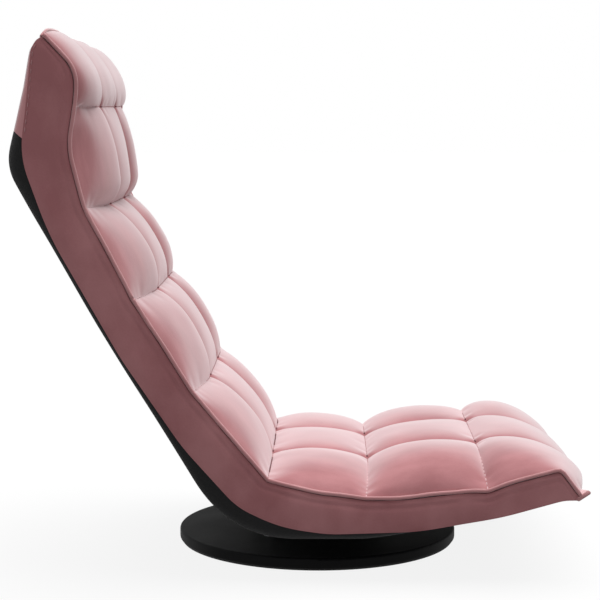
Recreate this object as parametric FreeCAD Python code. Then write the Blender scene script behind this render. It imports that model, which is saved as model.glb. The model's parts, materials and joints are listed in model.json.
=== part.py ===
"""Swivel floor chair: a quilted seat, back and head on a folding steel frame, over a round swivel base.

Millimetres. +Z is up, +X is the way a sitter faces, +Y is the sitter's left. The origin is on the floor,
on the swivel axis. The chair's side view is drawn in the XZ plane with four straight frames of reference:
the flat of the seat, its rising front, the back and the head. In each, s runs along the cover's outer
face away from the fold, and n stands on that face towards the sitter.
"""
import FreeCAD, Part
import math
import os

Vector = FreeCAD.Vector

# Overall form
WIDTH = 520.0
CORNER_SETBACK = 111.0
SEAT_UNDERSIDE = 57.0
SEAT_FLAT = 181.0
SEAT_RISE_LENGTH = 281.0
SEAT_RISE = 10.5
BACK_LENGTH = 528.0
BACK_LEAN = 30.5
HEAD_LENGTH = 150.0
HEAD_LEAN = 12.5
WAIST_BEND_RADIUS = 150.0
WAIST_AXIS_DEPTH = 24.0
NECK_BEND_RADIUS = 60.0
NECK_AXIS_DEPTH = 30.0
HEAD_AXIS_DEPTH = 24.0

# Motion
RECLINE_UPRIGHT = 30.0
RECLINE_POSITIONS_PITCH = 15.0
HEAD_FORWARD = 20.0
HEAD_POSITIONS_PITCH = 10.0

# Quilted pad
COLUMN_PITCH = 168.0
PAD_FLOOR = 26.5
NECK_PAD_LIFT = 2.0
NOSE_FLOOR = 3.0
CROWN = 16.0
VALLEY_RISE = 5.0
SEAM_BULGE = 2.0
CREASE_ANGLE = 56.0
CREASE_RADIUS = 48.5
SEAT_SEAM_1 = (12.0, 72.0)
SEAT_SEAM_2 = (161.0, 66.0)
SEAT_NOSE_START = 225.0
NOSE_EDGE = 10.0
SEAT_TOE_SETBACK = 12.0
TOE_NOTCH = 6.0
NOSE_EDGE_LEAST = 2.0
SIDE_CROWN_SHARE = 0.85
PAD_FOLD_RADIUS = 2.0
BACK_SEAM_1 = (156.0, 63.5)
BACK_SEAM_2 = (295.0, 63.0)
BACK_SEAM_3 = (426.0, 66.5)
HEAD_SEAM = (75.0, 81.0)
HEAD_NOSE_TOP = 30.0
HEAD_NOSE_REACH = 3.0
HEAD_TOP_DEPTH = 14.0
HEAD_TOP_SLANT = 20.0

# Cover
PANEL = 3.0
COVER = 2.0
PIPING_DIAMETER = 5.0
SOFT_GAP = 0.3
PIPING_FOLD_RADIUS = 6.0
PANEL_EDGE_RADIUS = 210.0
REAR_PANEL_START = 24.0
REAR_TOP_RADIUS = 8.0
FOLD_CLEAR_RADIUS = 4.0

# Side borders: points of the upper and lower edges, along and above the nearest outer face
FRONT_SEAM_SETBACK = 11.0
FRONT_SEAM_RISE = 9.0
FRONT_CORNER_SETBACK = 29.0
FRONT_CORNER_RISE = 45.0
SEAT_EDGE_FRONT = (160.0, 38.0)
SEAT_EDGE_MIDDLE = (30.0, 46.0)
SEAT_EDGE_REAR = (86.0, 60.0)
CREASE_EDGE_DROP = 6.0
BACK_EDGE_LOW = (163.0, 59.0)
BACK_EDGE_MIDDLE = (298.0, 54.0)
BACK_EDGE_HIGH = (438.0, 57.5)
NECK_EDGE_RADIUS = 52.0
NECK_EDGE_TURN = 6.0
HEAD_EDGE_LOW = (75.0, 70.0)
HEAD_EDGE_HIGH = (118.0, 62.0)
SEAT_FOOT_FRONT = (60.0, 3.0)
SEAT_FOOT_MIDDLE = (103.0, 8.0)
SEAT_FOOT_REAR = (41.0, 17.0)
WAIST_FOOT_RADIUS = 14.0
WAIST_FOOT_TURN = 114.0
BACK_FOOT_LOW = (111.0, 11.0)
BACK_FOOT_MIDDLE = (249.0, 3.0)
BACK_FOOT_HIGH = (429.0, 5.0)
NECK_FOOT_RADIUS = 7.0
NECK_FOOT_TURN = 170.0
HEAD_FOOT = (60.0, 12.0)
HEAD_FOOT_TOP_SETBACK = 18.0
HEAD_FOOT_TOP_RISE = 4.0

# Steel frame
TUBE_DIAMETER = 22.0
TUBE_WALL = 1.5
TUBE_DEPTH = 15.0
TUBE_INSET = 40.0
TUBE_BEND_RADIUS = 45.0
KICK_BEND_RADIUS = 300.0
TUBE_START = 50.0
SEAT_TUBE_END = 205.0
HEAD_TUBE_END = 95.0
HEAD_ARM_REACH = 62.0
HEAD_TUBE_START = 42.0
CROSS_DIAMETER = 16.0
BACK_CROSS_PLACES = (95.0, 265.0, 435.0)
SEAT_CROSS_SPREAD = 94.0

# Ratchet hinges
PLATE = 4.0
PLATE_GAP = 0.3
ARM_RADIUS = 10.0
ARM_REACH = 80.0
WAIST_WHEEL_TIP = 20.0
NECK_WHEEL_TIP = 19.0
TOOTH_DEPTH = 3.0
PAWL_ARM = 22.0
PAWL_EYE_RADIUS = 6.0
PAWL_TIP_TURN = 24.0
PAWL_CLEARANCE = 0.3
PAWL_THICKNESS = 3.6
PAWL_PIN_DIAMETER = 5.0
PAWL_PIN_HEAD_RADIUS = 5.0
RIVET_DIAMETER = 8.0
RIVET_HEAD_DIAMETER = 14.0
RIVET_HEAD = 2.5
PIN_CLEARANCE = 0.05
HINGE_POCKET_RADIUS = 35.0
HINGE_POCKET_WIDTH = 24.0
POCKET_MARGIN = 3.0
SPRING_LEAF = 0.8
SPRING_WIDTH = 3.0
SPRING_ANCHOR = 46.0
SPRING_ANCHOR_RADIUS = 2.5
SPRING_REST = 5.0
SPRING_CLEARANCE = 0.4

# Swivel base
BASE_DIAMETER = 390.0
BASE_THICKNESS = 15.0
BASE_EDGE_RADIUS = 3.0
FLOOR_PAD_DIAMETER = 384.0
FLOOR_PAD = 2.0
SWIVEL_PLATE = 150.0
SWIVEL_PLATE_THICKNESS = 2.0
SWIVEL_PLATE_CORNER = 12.0
BALL_DIAMETER = 6.0
BALL_COUNT = 20
BALL_CIRCLE = 110.0
BALL_CLEARANCE = 0.1
RACE_WIDTH = 12.0
RACE_FLOOR = 0.5
RACE_HEIGHT = 2.3
CAGE_HEIGHT = 1.2
CAGE_CLEARANCE = 0.2
CAGE_WIDTH = 9.0
PIVOT_DIAMETER = 10.0
PIVOT_CLEARANCE = 0.1
PIVOT_HEAD_DIAMETER = 22.0
PIVOT_HEAD = 6.0
PIVOT_WASHER_DIAMETER = 24.0
PIVOT_WASHER = 2.0
PIVOT_NUT_FLATS = 17.0
PIVOT_NUT = 9.0
PIVOT_THREAD_SHOWING = 2.0
RISER_FOOT_DIAMETER = 196.0
RISER_NECK_DIAMETER = 156.0
RISER_TOP_DIAMETER = 124.0
RISER_HOLE_DIAMETER = 40.0
RISER_WALL = 3.0
PLATE_SCREW_SPACING = 128.0
SCREW_DIAMETER = 5.0
SCREW_HEAD_DIAMETER = 9.0
SCREW_HEAD = 2.2
SCREW_DEPTH = 12.0
RISER_NUT_FLATS = 8.0
MOUNT_PLATE = 150.0
MOUNT_PLATE_THICKNESS = 4.0
MOUNT_BOLT_SPACING = 62.0
MOUNT_BOLT_DIAMETER = 6.0
MOUNT_BOLT_HEAD_DIAMETER = 11.0
MOUNT_BOLT_HEAD = 3.5
MOUNT_NUT = 5.0
MOUNT_NUT_FLATS = 10.0
COVER_HOLE_MARGIN = 2.0

FAR = 900.0


class SideFrame:
    """A straight frame of reference in the side view: s along it, n towards the sitter."""

    def __init__(self, origin, bearing, sitter_side):
        angle = math.radians(bearing)
        self.origin = origin
        self.along = (math.cos(angle), math.sin(angle))
        self.normal = (-sitter_side * self.along[1], sitter_side * self.along[0])

    def at(self, s, n):
        x = self.origin[0] + s * self.along[0] + n * self.normal[0]
        z = self.origin[1] + s * self.along[1] + n * self.normal[1]
        return (x, z)


def meeting(one, other):
    """Where the outer faces of two frames would meet in a sharp corner."""
    cross = one.along[0] * other.along[1] - one.along[1] * other.along[0]
    gap = (other.origin[0] - one.origin[0], other.origin[1] - one.origin[1])
    return one.at((gap[0] * other.along[1] - gap[1] * other.along[0]) / cross, 0.0)


def polar(centre, radius, bearing):
    angle = math.radians(bearing)
    return (centre[0] + radius * math.cos(angle), centre[1] + radius * math.sin(angle))


def between(p, q, share):
    return (p[0] + (q[0] - p[0]) * share, p[1] + (q[1] - p[1]) * share)


def place(point, y):
    return Vector(point[0], y, point[1])


# The side view: bearings, the two hinge axes and the four frames
BACK_BEARING = 90.0 + BACK_LEAN
HEAD_BEARING = 90.0 - HEAD_LEAN
WAIST_CORNER = (-CORNER_SETBACK, SEAT_UNDERSIDE)
HALF_FOLD = math.radians(BACK_BEARING / 2)
AXIS_REACH = WAIST_BEND_RADIUS * (1.0 / math.sin(HALF_FOLD) - 1.0) + WAIST_AXIS_DEPTH
AXIS_RISE = AXIS_REACH * math.sin(HALF_FOLD)
WAIST_AXIS = polar(WAIST_CORNER, AXIS_REACH, BACK_BEARING / 2)
SEAT = SideFrame((WAIST_AXIS[0], SEAT_UNDERSIDE), 0.0, 1)
RISE = SideFrame((SEAT_FLAT - CORNER_SETBACK, SEAT_UNDERSIDE), SEAT_RISE, 1)
BACK = SideFrame(polar(WAIST_AXIS, AXIS_RISE, BACK_BEARING + 90.0), BACK_BEARING, -1)
NECK_AXIS = BACK.at(BACK_LENGTH, NECK_AXIS_DEPTH)
HEAD = SideFrame(polar(NECK_AXIS, HEAD_AXIS_DEPTH, HEAD_BEARING + 90.0), HEAD_BEARING, -1)

# Bearings that part the seat, the back and the head from the stretches of cover that bend between them
SEAT_FOLD_BEARING = CREASE_ANGLE - RECLINE_UPRIGHT / 2
BACK_FOLD_BEARING = CREASE_ANGLE + RECLINE_UPRIGHT / 2
SEAT_REAR_BEARING = -90.0
BACK_REAR_BEARING = BACK_BEARING + 90.0
HEAD_REAR_BEARING = HEAD_BEARING + 90.0
NECK_FOLD_MIDDLE = (BACK_BEARING - 180.0 + HEAD_BEARING) / 2
NECK_LOW_BEARING = NECK_FOLD_MIDDLE - HEAD_FORWARD / 2
NECK_HIGH_BEARING = NECK_FOLD_MIDDLE + HEAD_FORWARD / 2

TUBE_Y = WIDTH / 2 - TUBE_INSET
PAD_HALF = WIDTH / 2 - PANEL - SOFT_GAP


def line(p, q):
    return Part.LineSegment(p, q).toShape()


def rounded_path(points, radii):
    """Straight runs joined by tangent arcs. An arc takes at most 0.48 of its shorter run."""
    edges = []
    start = points[0]
    for before, corner, after, radius in zip(points, points[1:], points[2:], radii):
        inward = (before - corner).normalize()
        onward = (after - corner).normalize()
        half_turn = (math.pi - inward.getAngle(onward)) / 2
        room = 0.48 * min((before - corner).Length, (after - corner).Length)
        trim = min(radius * math.tan(half_turn), room)
        radius = trim / math.tan(half_turn)
        middle = (inward + onward).normalize()
        nearest = corner + middle * (radius / math.cos(half_turn) - radius)
        begin = corner + inward * trim
        end = corner + onward * trim
        edges.append(line(start, begin))
        edges.append(Part.Arc(begin, nearest, end).toShape())
        start = end
    edges.append(line(start, points[-1]))
    return edges


def prism(edges, y_low, y_high):
    """A closed side-view outline drawn at y = 0, made solid between two values of y."""
    face = Part.Face(Part.Wire(Part.__sortEdges__(edges)))
    face.translate(Vector(0, y_low, 0))
    return face.extrude(Vector(0, y_high - y_low, 0))


def polygon(points):
    corners = [place(p, 0.0) for p in points]
    return [line(p, q) for p, q in zip(corners, corners[1:] + corners[:1])]


def sector(axis, bearing_from, bearing_to):
    """Everything round an axis between two bearings, across the chair's whole width."""
    steps = 4
    turn = (bearing_to - bearing_from) / steps
    rim = [polar(axis, FAR, bearing_from + turn * k) for k in range(steps + 1)]
    return prism(polygon([axis] + rim), -WIDTH, WIDTH)


def gap_plate(axis, bearing):
    """The thin clear space along one fold plane."""
    half = SOFT_GAP / 2
    side = bearing + 90.0
    tip = polar(axis, FAR, bearing)
    ends = ((axis, half), (tip, half), (tip, -half), (axis, -half))
    corners = [polar(end, offset, side) for end, offset in ends]
    return prism(polygon(corners), -WIDTH, WIDTH)


def rod(start, end, diameter):
    return Part.makeCylinder(diameter / 2, (end - start).Length, start, end - start)


def disc(diameter, z_low, z_high):
    return Part.makeCylinder(diameter / 2, z_high - z_low, Vector(0, 0, z_low))


def stadium(p, q, radius, y_low, y_high):
    """A strap with round ends in the side view."""
    ends = [Part.makeCylinder(radius, y_high - y_low, place(c, y_low), Vector(0, 1, 0)) for c in (p, q)]
    length = math.hypot(q[0] - p[0], q[1] - p[1])
    across = ((p[1] - q[1]) / length * radius, (q[0] - p[0]) / length * radius)
    corners = [
        (p[0] + across[0], p[1] + across[1]),
        (q[0] + across[0], q[1] + across[1]),
        (q[0] - across[0], q[1] - across[1]),
        (p[0] - across[0], p[1] - across[1]),
    ]
    return ends[0].fuse(ends[1]).fuse(prism(polygon(corners), y_low, y_high)).removeSplitter()


def both_sides(shape):
    """The piece drawn on the sitter's left and its mirror image on the right, as two solids."""
    return Part.Compound([shape, shape.mirror(Vector(0, 0, 0), Vector(0, 1, 0))])


def solids_of(shape):
    solids = [s for s in shape.Solids if s.Volume > 1.0]
    return solids[0] if len(solids) == 1 else Part.Compound(solids)


def lifted(points, lift):
    """A side-view polyline moved off towards the sitter, corner by corner."""
    headings = [math.atan2(q[1] - p[1], q[0] - p[0]) for p, q in zip(points, points[1:])]
    moved = []
    for k, corner in enumerate(points):
        before = headings[max(k - 1, 0)]
        turn = math.remainder(headings[min(k, len(headings) - 1)] - before, 2 * math.pi)
        facing = math.degrees(before + turn / 2) - 90.0
        moved.append(polar(corner, lift / math.cos(turn / 2), facing))
    return moved


# Side outlines of the cover

CREASE = polar(WAIST_AXIS, CREASE_RADIUS, CREASE_ANGLE)
HEAD_APEX = HEAD.at(HEAD_LENGTH, HEAD_TOP_DEPTH)
SEAT_TOE = RISE.at(SEAT_RISE_LENGTH - SEAT_TOE_SETBACK, 0.0)

PIPING_POINTS = [
    RISE.at(SEAT_RISE_LENGTH - FRONT_SEAM_SETBACK, FRONT_SEAM_RISE),
    RISE.at(SEAT_RISE_LENGTH - FRONT_CORNER_SETBACK, FRONT_CORNER_RISE),
    RISE.at(*SEAT_EDGE_FRONT),
    RISE.at(*SEAT_EDGE_MIDDLE),
    SEAT.at(*SEAT_EDGE_REAR),
    polar(CREASE, CREASE_EDGE_DROP, CREASE_ANGLE + 180.0),
    BACK.at(*BACK_EDGE_LOW),
    BACK.at(*BACK_EDGE_MIDDLE),
    BACK.at(*BACK_EDGE_HIGH),
    polar(NECK_AXIS, NECK_EDGE_RADIUS, NECK_FOLD_MIDDLE + NECK_EDGE_TURN),
    HEAD.at(*HEAD_EDGE_LOW),
    HEAD.at(*HEAD_EDGE_HIGH),
    HEAD_APEX,
]
PIPING_RADII = [8.0, 90.0, 90.0, 90.0, PIPING_FOLD_RADIUS, 200.0, 200.0, 120.0, 60.0, 60.0, 40.0]

OUTER_POINTS = [
    SEAT_TOE,
    RISE.at(0.0, 0.0),
    WAIST_CORNER,
    meeting(BACK, HEAD),
    HEAD.at(HEAD_LENGTH - HEAD_TOP_SLANT, 0.0),
    HEAD_APEX,
]

PANEL_FOOT_POINTS = [
    SEAT_TOE,
    RISE.at(*SEAT_FOOT_FRONT),
    SEAT.at(*SEAT_FOOT_MIDDLE),
    SEAT.at(*SEAT_FOOT_REAR),
    polar(WAIST_AXIS, WAIST_FOOT_RADIUS, CREASE_ANGLE + WAIST_FOOT_TURN),
    BACK.at(*BACK_FOOT_LOW),
    BACK.at(*BACK_FOOT_MIDDLE),
    BACK.at(*BACK_FOOT_HIGH),
    polar(NECK_AXIS, NECK_FOOT_RADIUS, NECK_FOLD_MIDDLE + NECK_FOOT_TURN),
    HEAD.at(*HEAD_FOOT),
    HEAD.at(HEAD_LENGTH - HEAD_FOOT_TOP_SETBACK, HEAD_FOOT_TOP_RISE),
    HEAD_APEX,
]


def outer_line(depth):
    """A line at one depth inside the cover, from the seat's toe round both folds to the head's top."""
    points = [place(p, 0) for p in lifted(OUTER_POINTS, depth)]
    inward = [radius - depth for radius in (WAIST_BEND_RADIUS, NECK_BEND_RADIUS, REAR_TOP_RADIUS)]
    return rounded_path(points, [KICK_BEND_RADIUS + depth] + inward)


def panel_foot_line():
    points = [place(p, 0) for p in PANEL_FOOT_POINTS]
    return rounded_path(points, [PANEL_EDGE_RADIUS] * (len(points) - 2))


def piping_line(lift):
    points = [place(p, 0) for p in lifted(PIPING_POINTS, lift)]
    return rounded_path(points, PIPING_RADII)


def crossing(low, top, points):
    """How far up the line from low towards top a side-view polyline crosses it."""
    ux, uz = top[0] - low[0], top[1] - low[1]
    length = math.hypot(ux, uz)
    ux, uz = ux / length, uz / length
    heights = []
    for p, q in zip(points, points[1:]):
        side_p = (p[0] - low[0]) * -uz + (p[1] - low[1]) * ux
        side_q = (q[0] - low[0]) * -uz + (q[1] - low[1]) * ux
        if side_p * side_q <= 0 and side_p != side_q:
            x, z = between(p, q, side_p / (side_p - side_q))
            height = (x - low[0]) * ux + (z - low[1]) * uz
            if height > 0:
                heights.append(height)
    return min(heights, key=lambda h: abs(h - length), default=0.0)


# Quilted pad


def pad_section(low, seam, crown, valley, edge):
    """One cross-section: a flat floor, two sides and three crowned columns between the seam lines."""
    height = math.hypot(seam[0] - low[0], seam[1] - low[1])
    up = ((seam[0] - low[0]) / height, (seam[1] - low[1]) / height)

    def point(y, h):
        return Vector(low[0] + up[0] * h, y, low[1] + up[1] * h)

    stitch = COLUMN_PITCH / 2
    outer = (PAD_HALF + stitch) / 2
    stitch_height = height + valley
    middle_height = height + crown + SEAM_BULGE
    outer_height = max(height + SIDE_CROWN_SHARE * crown, (edge + stitch_height) / 2 + SEAM_BULGE)
    floor_left, floor_right = point(-PAD_HALF, 0), point(PAD_HALF, 0)
    edge_left, edge_right = point(-PAD_HALF, edge), point(PAD_HALF, edge)
    stitch_left, stitch_right = point(-stitch, stitch_height), point(stitch, stitch_height)
    return Part.Wire(
        [
            line(floor_left, edge_left),
            Part.Arc(edge_left, point(-outer, outer_height), stitch_left).toShape(),
            Part.Arc(stitch_left, point(0, middle_height), stitch_right).toShape(),
            Part.Arc(stitch_right, point(outer, outer_height), edge_right).toShape(),
            line(edge_right, floor_right),
            line(floor_right, floor_left),
        ]
    )


ROW_SHARES = (0.0, 0.12, 0.35, 0.65, 0.88, 1.0)
NOSE_SHARES = (0.0, 0.12, 0.35, 0.6, 0.8, 0.93, 1.0)


def puff(share):
    """Crown of a row from one stitched seam, 0, to the next, 1."""
    return math.sqrt(1.0 - (2.0 * share - 1.0) ** 4)


def pad_row(lows, seams, shares=ROW_SHARES):
    """A row of three pillows: lows and seams are functions of the share of the row's length."""
    wires = []
    for share in shares:
        low, seam = lows(share), seams(share)
        edge = crossing(low, seam, PIPING_POINTS)
        wires.append(pad_section(low, seam, CROWN * puff(share), VALLEY_RISE * puff(share), edge))
    return Part.makeLoft(wires, True, False)


def straight_row(low_from, low_to, seam_from, seam_to):
    return pad_row(lambda u: between(low_from, low_to, u), lambda u: between(seam_from, seam_to, u))


def nose_row(frame, seam_s, step, end, level_from, level_to, floor):
    """A row that curls down to an edge seam: over the frame tube as far as a step, then in front of it."""

    def section(share):
        s = seam_s + (end - seam_s) * share
        top = level_to + (level_from - level_to) * math.sqrt(1.0 - share ** 3)
        fade = puff(share) * (1.0 - share)
        low, seam = frame.at(s, floor), frame.at(s, top)
        edge = min(crossing(low, seam, PIPING_POINTS), top - floor)
        return pad_section(low, seam, CROWN * fade, VALLEY_RISE * fade, max(edge, NOSE_EDGE_LEAST))

    whole = Part.makeLoft([section(share) for share in NOSE_SHARES], True, False)
    if floor >= PAD_FLOOR:
        return whole
    tube_room = [frame.at(s, n) for s, n in ((0, 0), (0, PAD_FLOOR), (step, PAD_FLOOR), (step, 0))]
    return whole.cut(prism(polygon(tube_room), -WIDTH, WIDTH))


def quilted_pad():
    """The whole pad, from the seat's front edge to the top of the head."""
    seat_1, seat_2 = RISE.at(*SEAT_SEAM_1), RISE.at(*SEAT_SEAM_2)
    back_1, back_2, back_3 = BACK.at(*BACK_SEAM_1), BACK.at(*BACK_SEAM_2), BACK.at(*BACK_SEAM_3)
    head_1 = HEAD.at(*HEAD_SEAM)
    head_end = HEAD_LENGTH + HEAD_NOSE_REACH
    floor_crease = polar(WAIST_AXIS, PAD_FOLD_RADIUS, CREASE_ANGLE)
    neck_floor = polar(NECK_AXIS, NECK_PAD_LIFT, NECK_FOLD_MIDDLE)

    def neck_low(u):
        if u < 0.5:
            return between(BACK.at(BACK_SEAM_3[0], PAD_FLOOR), neck_floor, 2 * u)
        return between(neck_floor, HEAD.at(HEAD_SEAM[0], PAD_FLOOR), 2 * u - 1)

    seat_low_1, seat_low_2 = [RISE.at(seam[0], PAD_FLOOR) for seam in (SEAT_SEAM_1, SEAT_SEAM_2)]
    back_low_1, back_low_2, back_low_3 = [
        BACK.at(seam[0], PAD_FLOOR) for seam in (BACK_SEAM_1, BACK_SEAM_2, BACK_SEAM_3)
    ]
    seat_s, seat_level = SEAT_SEAM_2
    rows = [
        nose_row(RISE, seat_s, SEAT_NOSE_START, SEAT_RISE_LENGTH, seat_level, NOSE_EDGE, NOSE_FLOOR),
        straight_row(seat_low_1, seat_low_2, seat_1, seat_2),
        straight_row(floor_crease, seat_low_1, CREASE, seat_1),
        straight_row(floor_crease, back_low_1, CREASE, back_1),
        straight_row(back_low_1, back_low_2, back_1, back_2),
        straight_row(back_low_2, back_low_3, back_2, back_3),
        pad_row(neck_low, lambda u: between(back_3, head_1, u), ROW_SHARES[:3] + (0.5,)),
        pad_row(neck_low, lambda u: between(back_3, head_1, u), (0.5,) + ROW_SHARES[3:]),
        nose_row(HEAD, HEAD_SEAM[0], head_end, head_end, HEAD_SEAM[1], HEAD_NOSE_TOP, PAD_FLOOR),
    ]
    pad = rows[0].fuse(rows[1:]).removeSplitter()
    return pad.cut(hinge_pockets())


def hinge_pockets():
    """Hollows in the pad round the ratchet hinges and their arms."""
    low = TUBE_Y - HINGE_POCKET_WIDTH / 2
    high = TUBE_Y + HINGE_POCKET_WIDTH / 2
    arm = ARM_RADIUS + POCKET_MARGIN
    hollows = [
        Part.makeCylinder(HINGE_POCKET_RADIUS, high - low, place(WAIST_AXIS, low), Vector(0, 1, 0)),
        Part.makeCylinder(HINGE_POCKET_RADIUS, high - low, place(NECK_AXIS, low), Vector(0, 1, 0)),
        stadium(WAIST_AXIS, SEAT.at(ARM_REACH, TUBE_DEPTH), arm, low, high),
        stadium(WAIST_AXIS, BACK.at(ARM_REACH, TUBE_DEPTH), arm, low, high),
        stadium(NECK_AXIS, BACK.at(BACK_LENGTH - ARM_REACH, TUBE_DEPTH), arm, low, high),
        stadium(NECK_AXIS, HEAD.at(HEAD_ARM_REACH, TUBE_DEPTH), arm, low, high),
    ]
    return both_sides(hollows[0].fuse(hollows[1:]))


# Cover


def side_panels():
    """The boxed side borders, between the piped edge and the under cover's edge."""
    toe = line(place(PANEL_FOOT_POINTS[0], 0), place(PIPING_POINTS[0], 0))
    return both_sides(prism(piping_line(0.0) + panel_foot_line() + [toe], WIDTH / 2 - PANEL, WIDTH / 2))


def piped_edges():
    """Round welt cord along both side borders' upper edges, under the seat's nose and over the head."""
    lift = PIPING_DIAMETER / 2 + SOFT_GAP
    runs = piping_line(lift)
    start = place(lifted(PIPING_POINTS, lift)[0], 0)
    ring = Part.Circle(start, runs[0].tangentAt(runs[0].FirstParameter), PIPING_DIAMETER / 2).toShape()
    cord = Part.Wire(runs).makePipeShell([Part.Wire([ring])], True, False, 2)
    cord.translate(Vector(0, PAD_HALF + SOFT_GAP + PIPING_DIAMETER / 2, 0))
    cords = [both_sides(cord)]
    front = RISE.at(SEAT_RISE_LENGTH + lift, NOSE_EDGE - lift)
    top = HEAD.at(HEAD_LENGTH, HEAD_TOP_DEPTH + 2 * lift)
    for corner in (front, top):
        cords.append(rod(place(corner, -PAD_HALF), place(corner, PAD_HALF), PIPING_DIAMETER))
    return Part.Compound(cords)


def under_cover():
    """The cloth behind the back and under the seat: a thin tray with rims up to the side borders."""
    outer, inner = outer_line(0.0), outer_line(COVER)
    ends = [line(outer[k].Vertexes[k].Point, inner[k].Vertexes[k].Point) for k in (0, -1)]
    sheet = prism(outer + inner + ends, -WIDTH / 2, WIDTH / 2)
    rims = both_sides(prism(outer + panel_foot_line(), WIDTH / 2 - COVER, WIDTH / 2))
    toe = [RISE.at(s, n) for s, n in ((SEAT_RISE_LENGTH, -FAR), (SEAT_RISE_LENGTH, FAR))]
    stop = SEAT_RISE_LENGTH - SEAT_TOE_SETBACK - TOE_NOTCH
    toe += [RISE.at(stop, FAR), RISE.at(stop, -FAR)]
    notches = both_sides(prism(polygon(toe), WIDTH / 2 - PANEL, WIDTH))
    return sheet.fuse(rims.Solids).removeSplitter().cut(side_panels()).cut(notches)


def fold_planes():
    """The planes where the cover's bending stretches meet the seat, the back and the head."""
    waist = (SEAT_FOLD_BEARING, BACK_FOLD_BEARING, SEAT_REAR_BEARING, BACK_REAR_BEARING)
    neck = (NECK_LOW_BEARING, NECK_HIGH_BEARING, BACK_REAR_BEARING, HEAD_REAR_BEARING)
    plates = [gap_plate(WAIST_AXIS, b) for b in waist] + [gap_plate(NECK_AXIS, b) for b in neck]
    for axis in (WAIST_AXIS, NECK_AXIS):
        core = Part.makeCylinder(FOLD_CLEAR_RADIUS, 2 * WIDTH, place(axis, -WIDTH), Vector(0, 1, 0))
        plates.append(core)
    return plates


def zones():
    """The five stretches of the chair along its side view."""
    waist_inside = sector(WAIST_AXIS, SEAT_FOLD_BEARING, BACK_FOLD_BEARING)
    waist_outside = sector(WAIST_AXIS, BACK_REAR_BEARING, 270.0)
    neck_inside = sector(NECK_AXIS, NECK_LOW_BEARING, NECK_HIGH_BEARING)
    neck_outside = sector(NECK_AXIS, HEAD_REAR_BEARING, BACK_REAR_BEARING)
    above_waist = sector(WAIST_AXIS, BACK_FOLD_BEARING, BACK_REAR_BEARING)
    return {
        "seat": sector(WAIST_AXIS, SEAT_REAR_BEARING, SEAT_FOLD_BEARING),
        "waist": waist_inside.fuse(waist_outside),
        "back": above_waist.common(sector(NECK_AXIS, BACK_REAR_BEARING - 360.0, NECK_LOW_BEARING)),
        "neck": neck_inside.fuse(neck_outside),
        "head": sector(NECK_AXIS, NECK_HIGH_BEARING, HEAD_REAR_BEARING),
    }


def stretches(shape):
    """A soft piece parted at the folds."""
    parted = shape.cut(fold_planes())
    return {name: solids_of(parted.common(zone)) for name, zone in zones().items()}


# Steel frame


def tube(points, radii, diameter=TUBE_DIAMETER):
    """A bent round tube, hollow and open at its ends."""
    runs = rounded_path(points, radii)
    start = runs[0].tangentAt(runs[0].FirstParameter)
    walls = []
    for radius in (diameter / 2, diameter / 2 - TUBE_WALL):
        ring = Part.Wire([Part.Circle(points[0], start, radius).toShape()])
        walls.append(Part.Wire(runs).makePipeShell([ring], True, False))
    return walls[0].cut(walls[1])


def cross_tube(centre, diameter, beside):
    """A cross tube cut to the side tubes it is welded between."""
    start, end = place(centre, -TUBE_Y), place(centre, TUBE_Y)
    bar = rod(start, end, diameter).cut(rod(start, end, diameter - 2 * TUBE_WALL))
    return solids_of(max(bar.cut(beside).Solids, key=lambda piece: piece.Volume))


def full_tubes(points, radii):
    """The space inside and under the walls of a tube."""
    runs = rounded_path(points, radii)
    ring = Part.Circle(points[0], runs[0].tangentAt(runs[0].FirstParameter), TUBE_DIAMETER / 2).toShape()
    return Part.Wire(runs).makePipeShell([Part.Wire([ring])], True, False)


def seat_tube_points():
    side = [SEAT.at(TUBE_START, TUBE_DEPTH), kick_at(TUBE_DEPTH), RISE.at(SEAT_TUBE_END, TUBE_DEPTH)]
    return [place(p, -TUBE_Y) for p in side] + [place(p, TUBE_Y) for p in reversed(side)]


def kick_at(depth):
    return polar(RISE.at(0, 0), depth / math.cos(math.radians(SEAT_RISE / 2)), 90 + SEAT_RISE / 2)


SEAT_TUBE_RADII = [KICK_BEND_RADIUS, TUBE_BEND_RADIUS, TUBE_BEND_RADIUS, KICK_BEND_RADIUS]
HEAD_TUBE_RADII = [TUBE_BEND_RADIUS, TUBE_BEND_RADIUS]


def head_tube_points():
    side = [HEAD.at(HEAD_TUBE_START, TUBE_DEPTH), HEAD.at(HEAD_TUBE_END, TUBE_DEPTH)]
    return [place(p, -TUBE_Y) for p in side] + [place(p, TUBE_Y) for p in reversed(side)]


def back_tube_ends(y):
    return [place(BACK.at(s, TUBE_DEPTH), y) for s in (TUBE_START, BACK_LENGTH - TUBE_START)]


# Ratchet hinges: a toothed plate on the fixed tube, a plain plate and a sprung pawl on the moving one

FIXED_Y = (TUBE_Y - PLATE_GAP / 2 - PLATE, TUBE_Y - PLATE_GAP / 2)
MOVING_Y = (TUBE_Y + PLATE_GAP / 2, TUBE_Y + PLATE_GAP / 2 + PLATE)


def across(centre, radius, y_low, y_high):
    return Part.makeCylinder(radius, y_high - y_low, place(centre, y_low), Vector(0, 1, 0))


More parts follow.
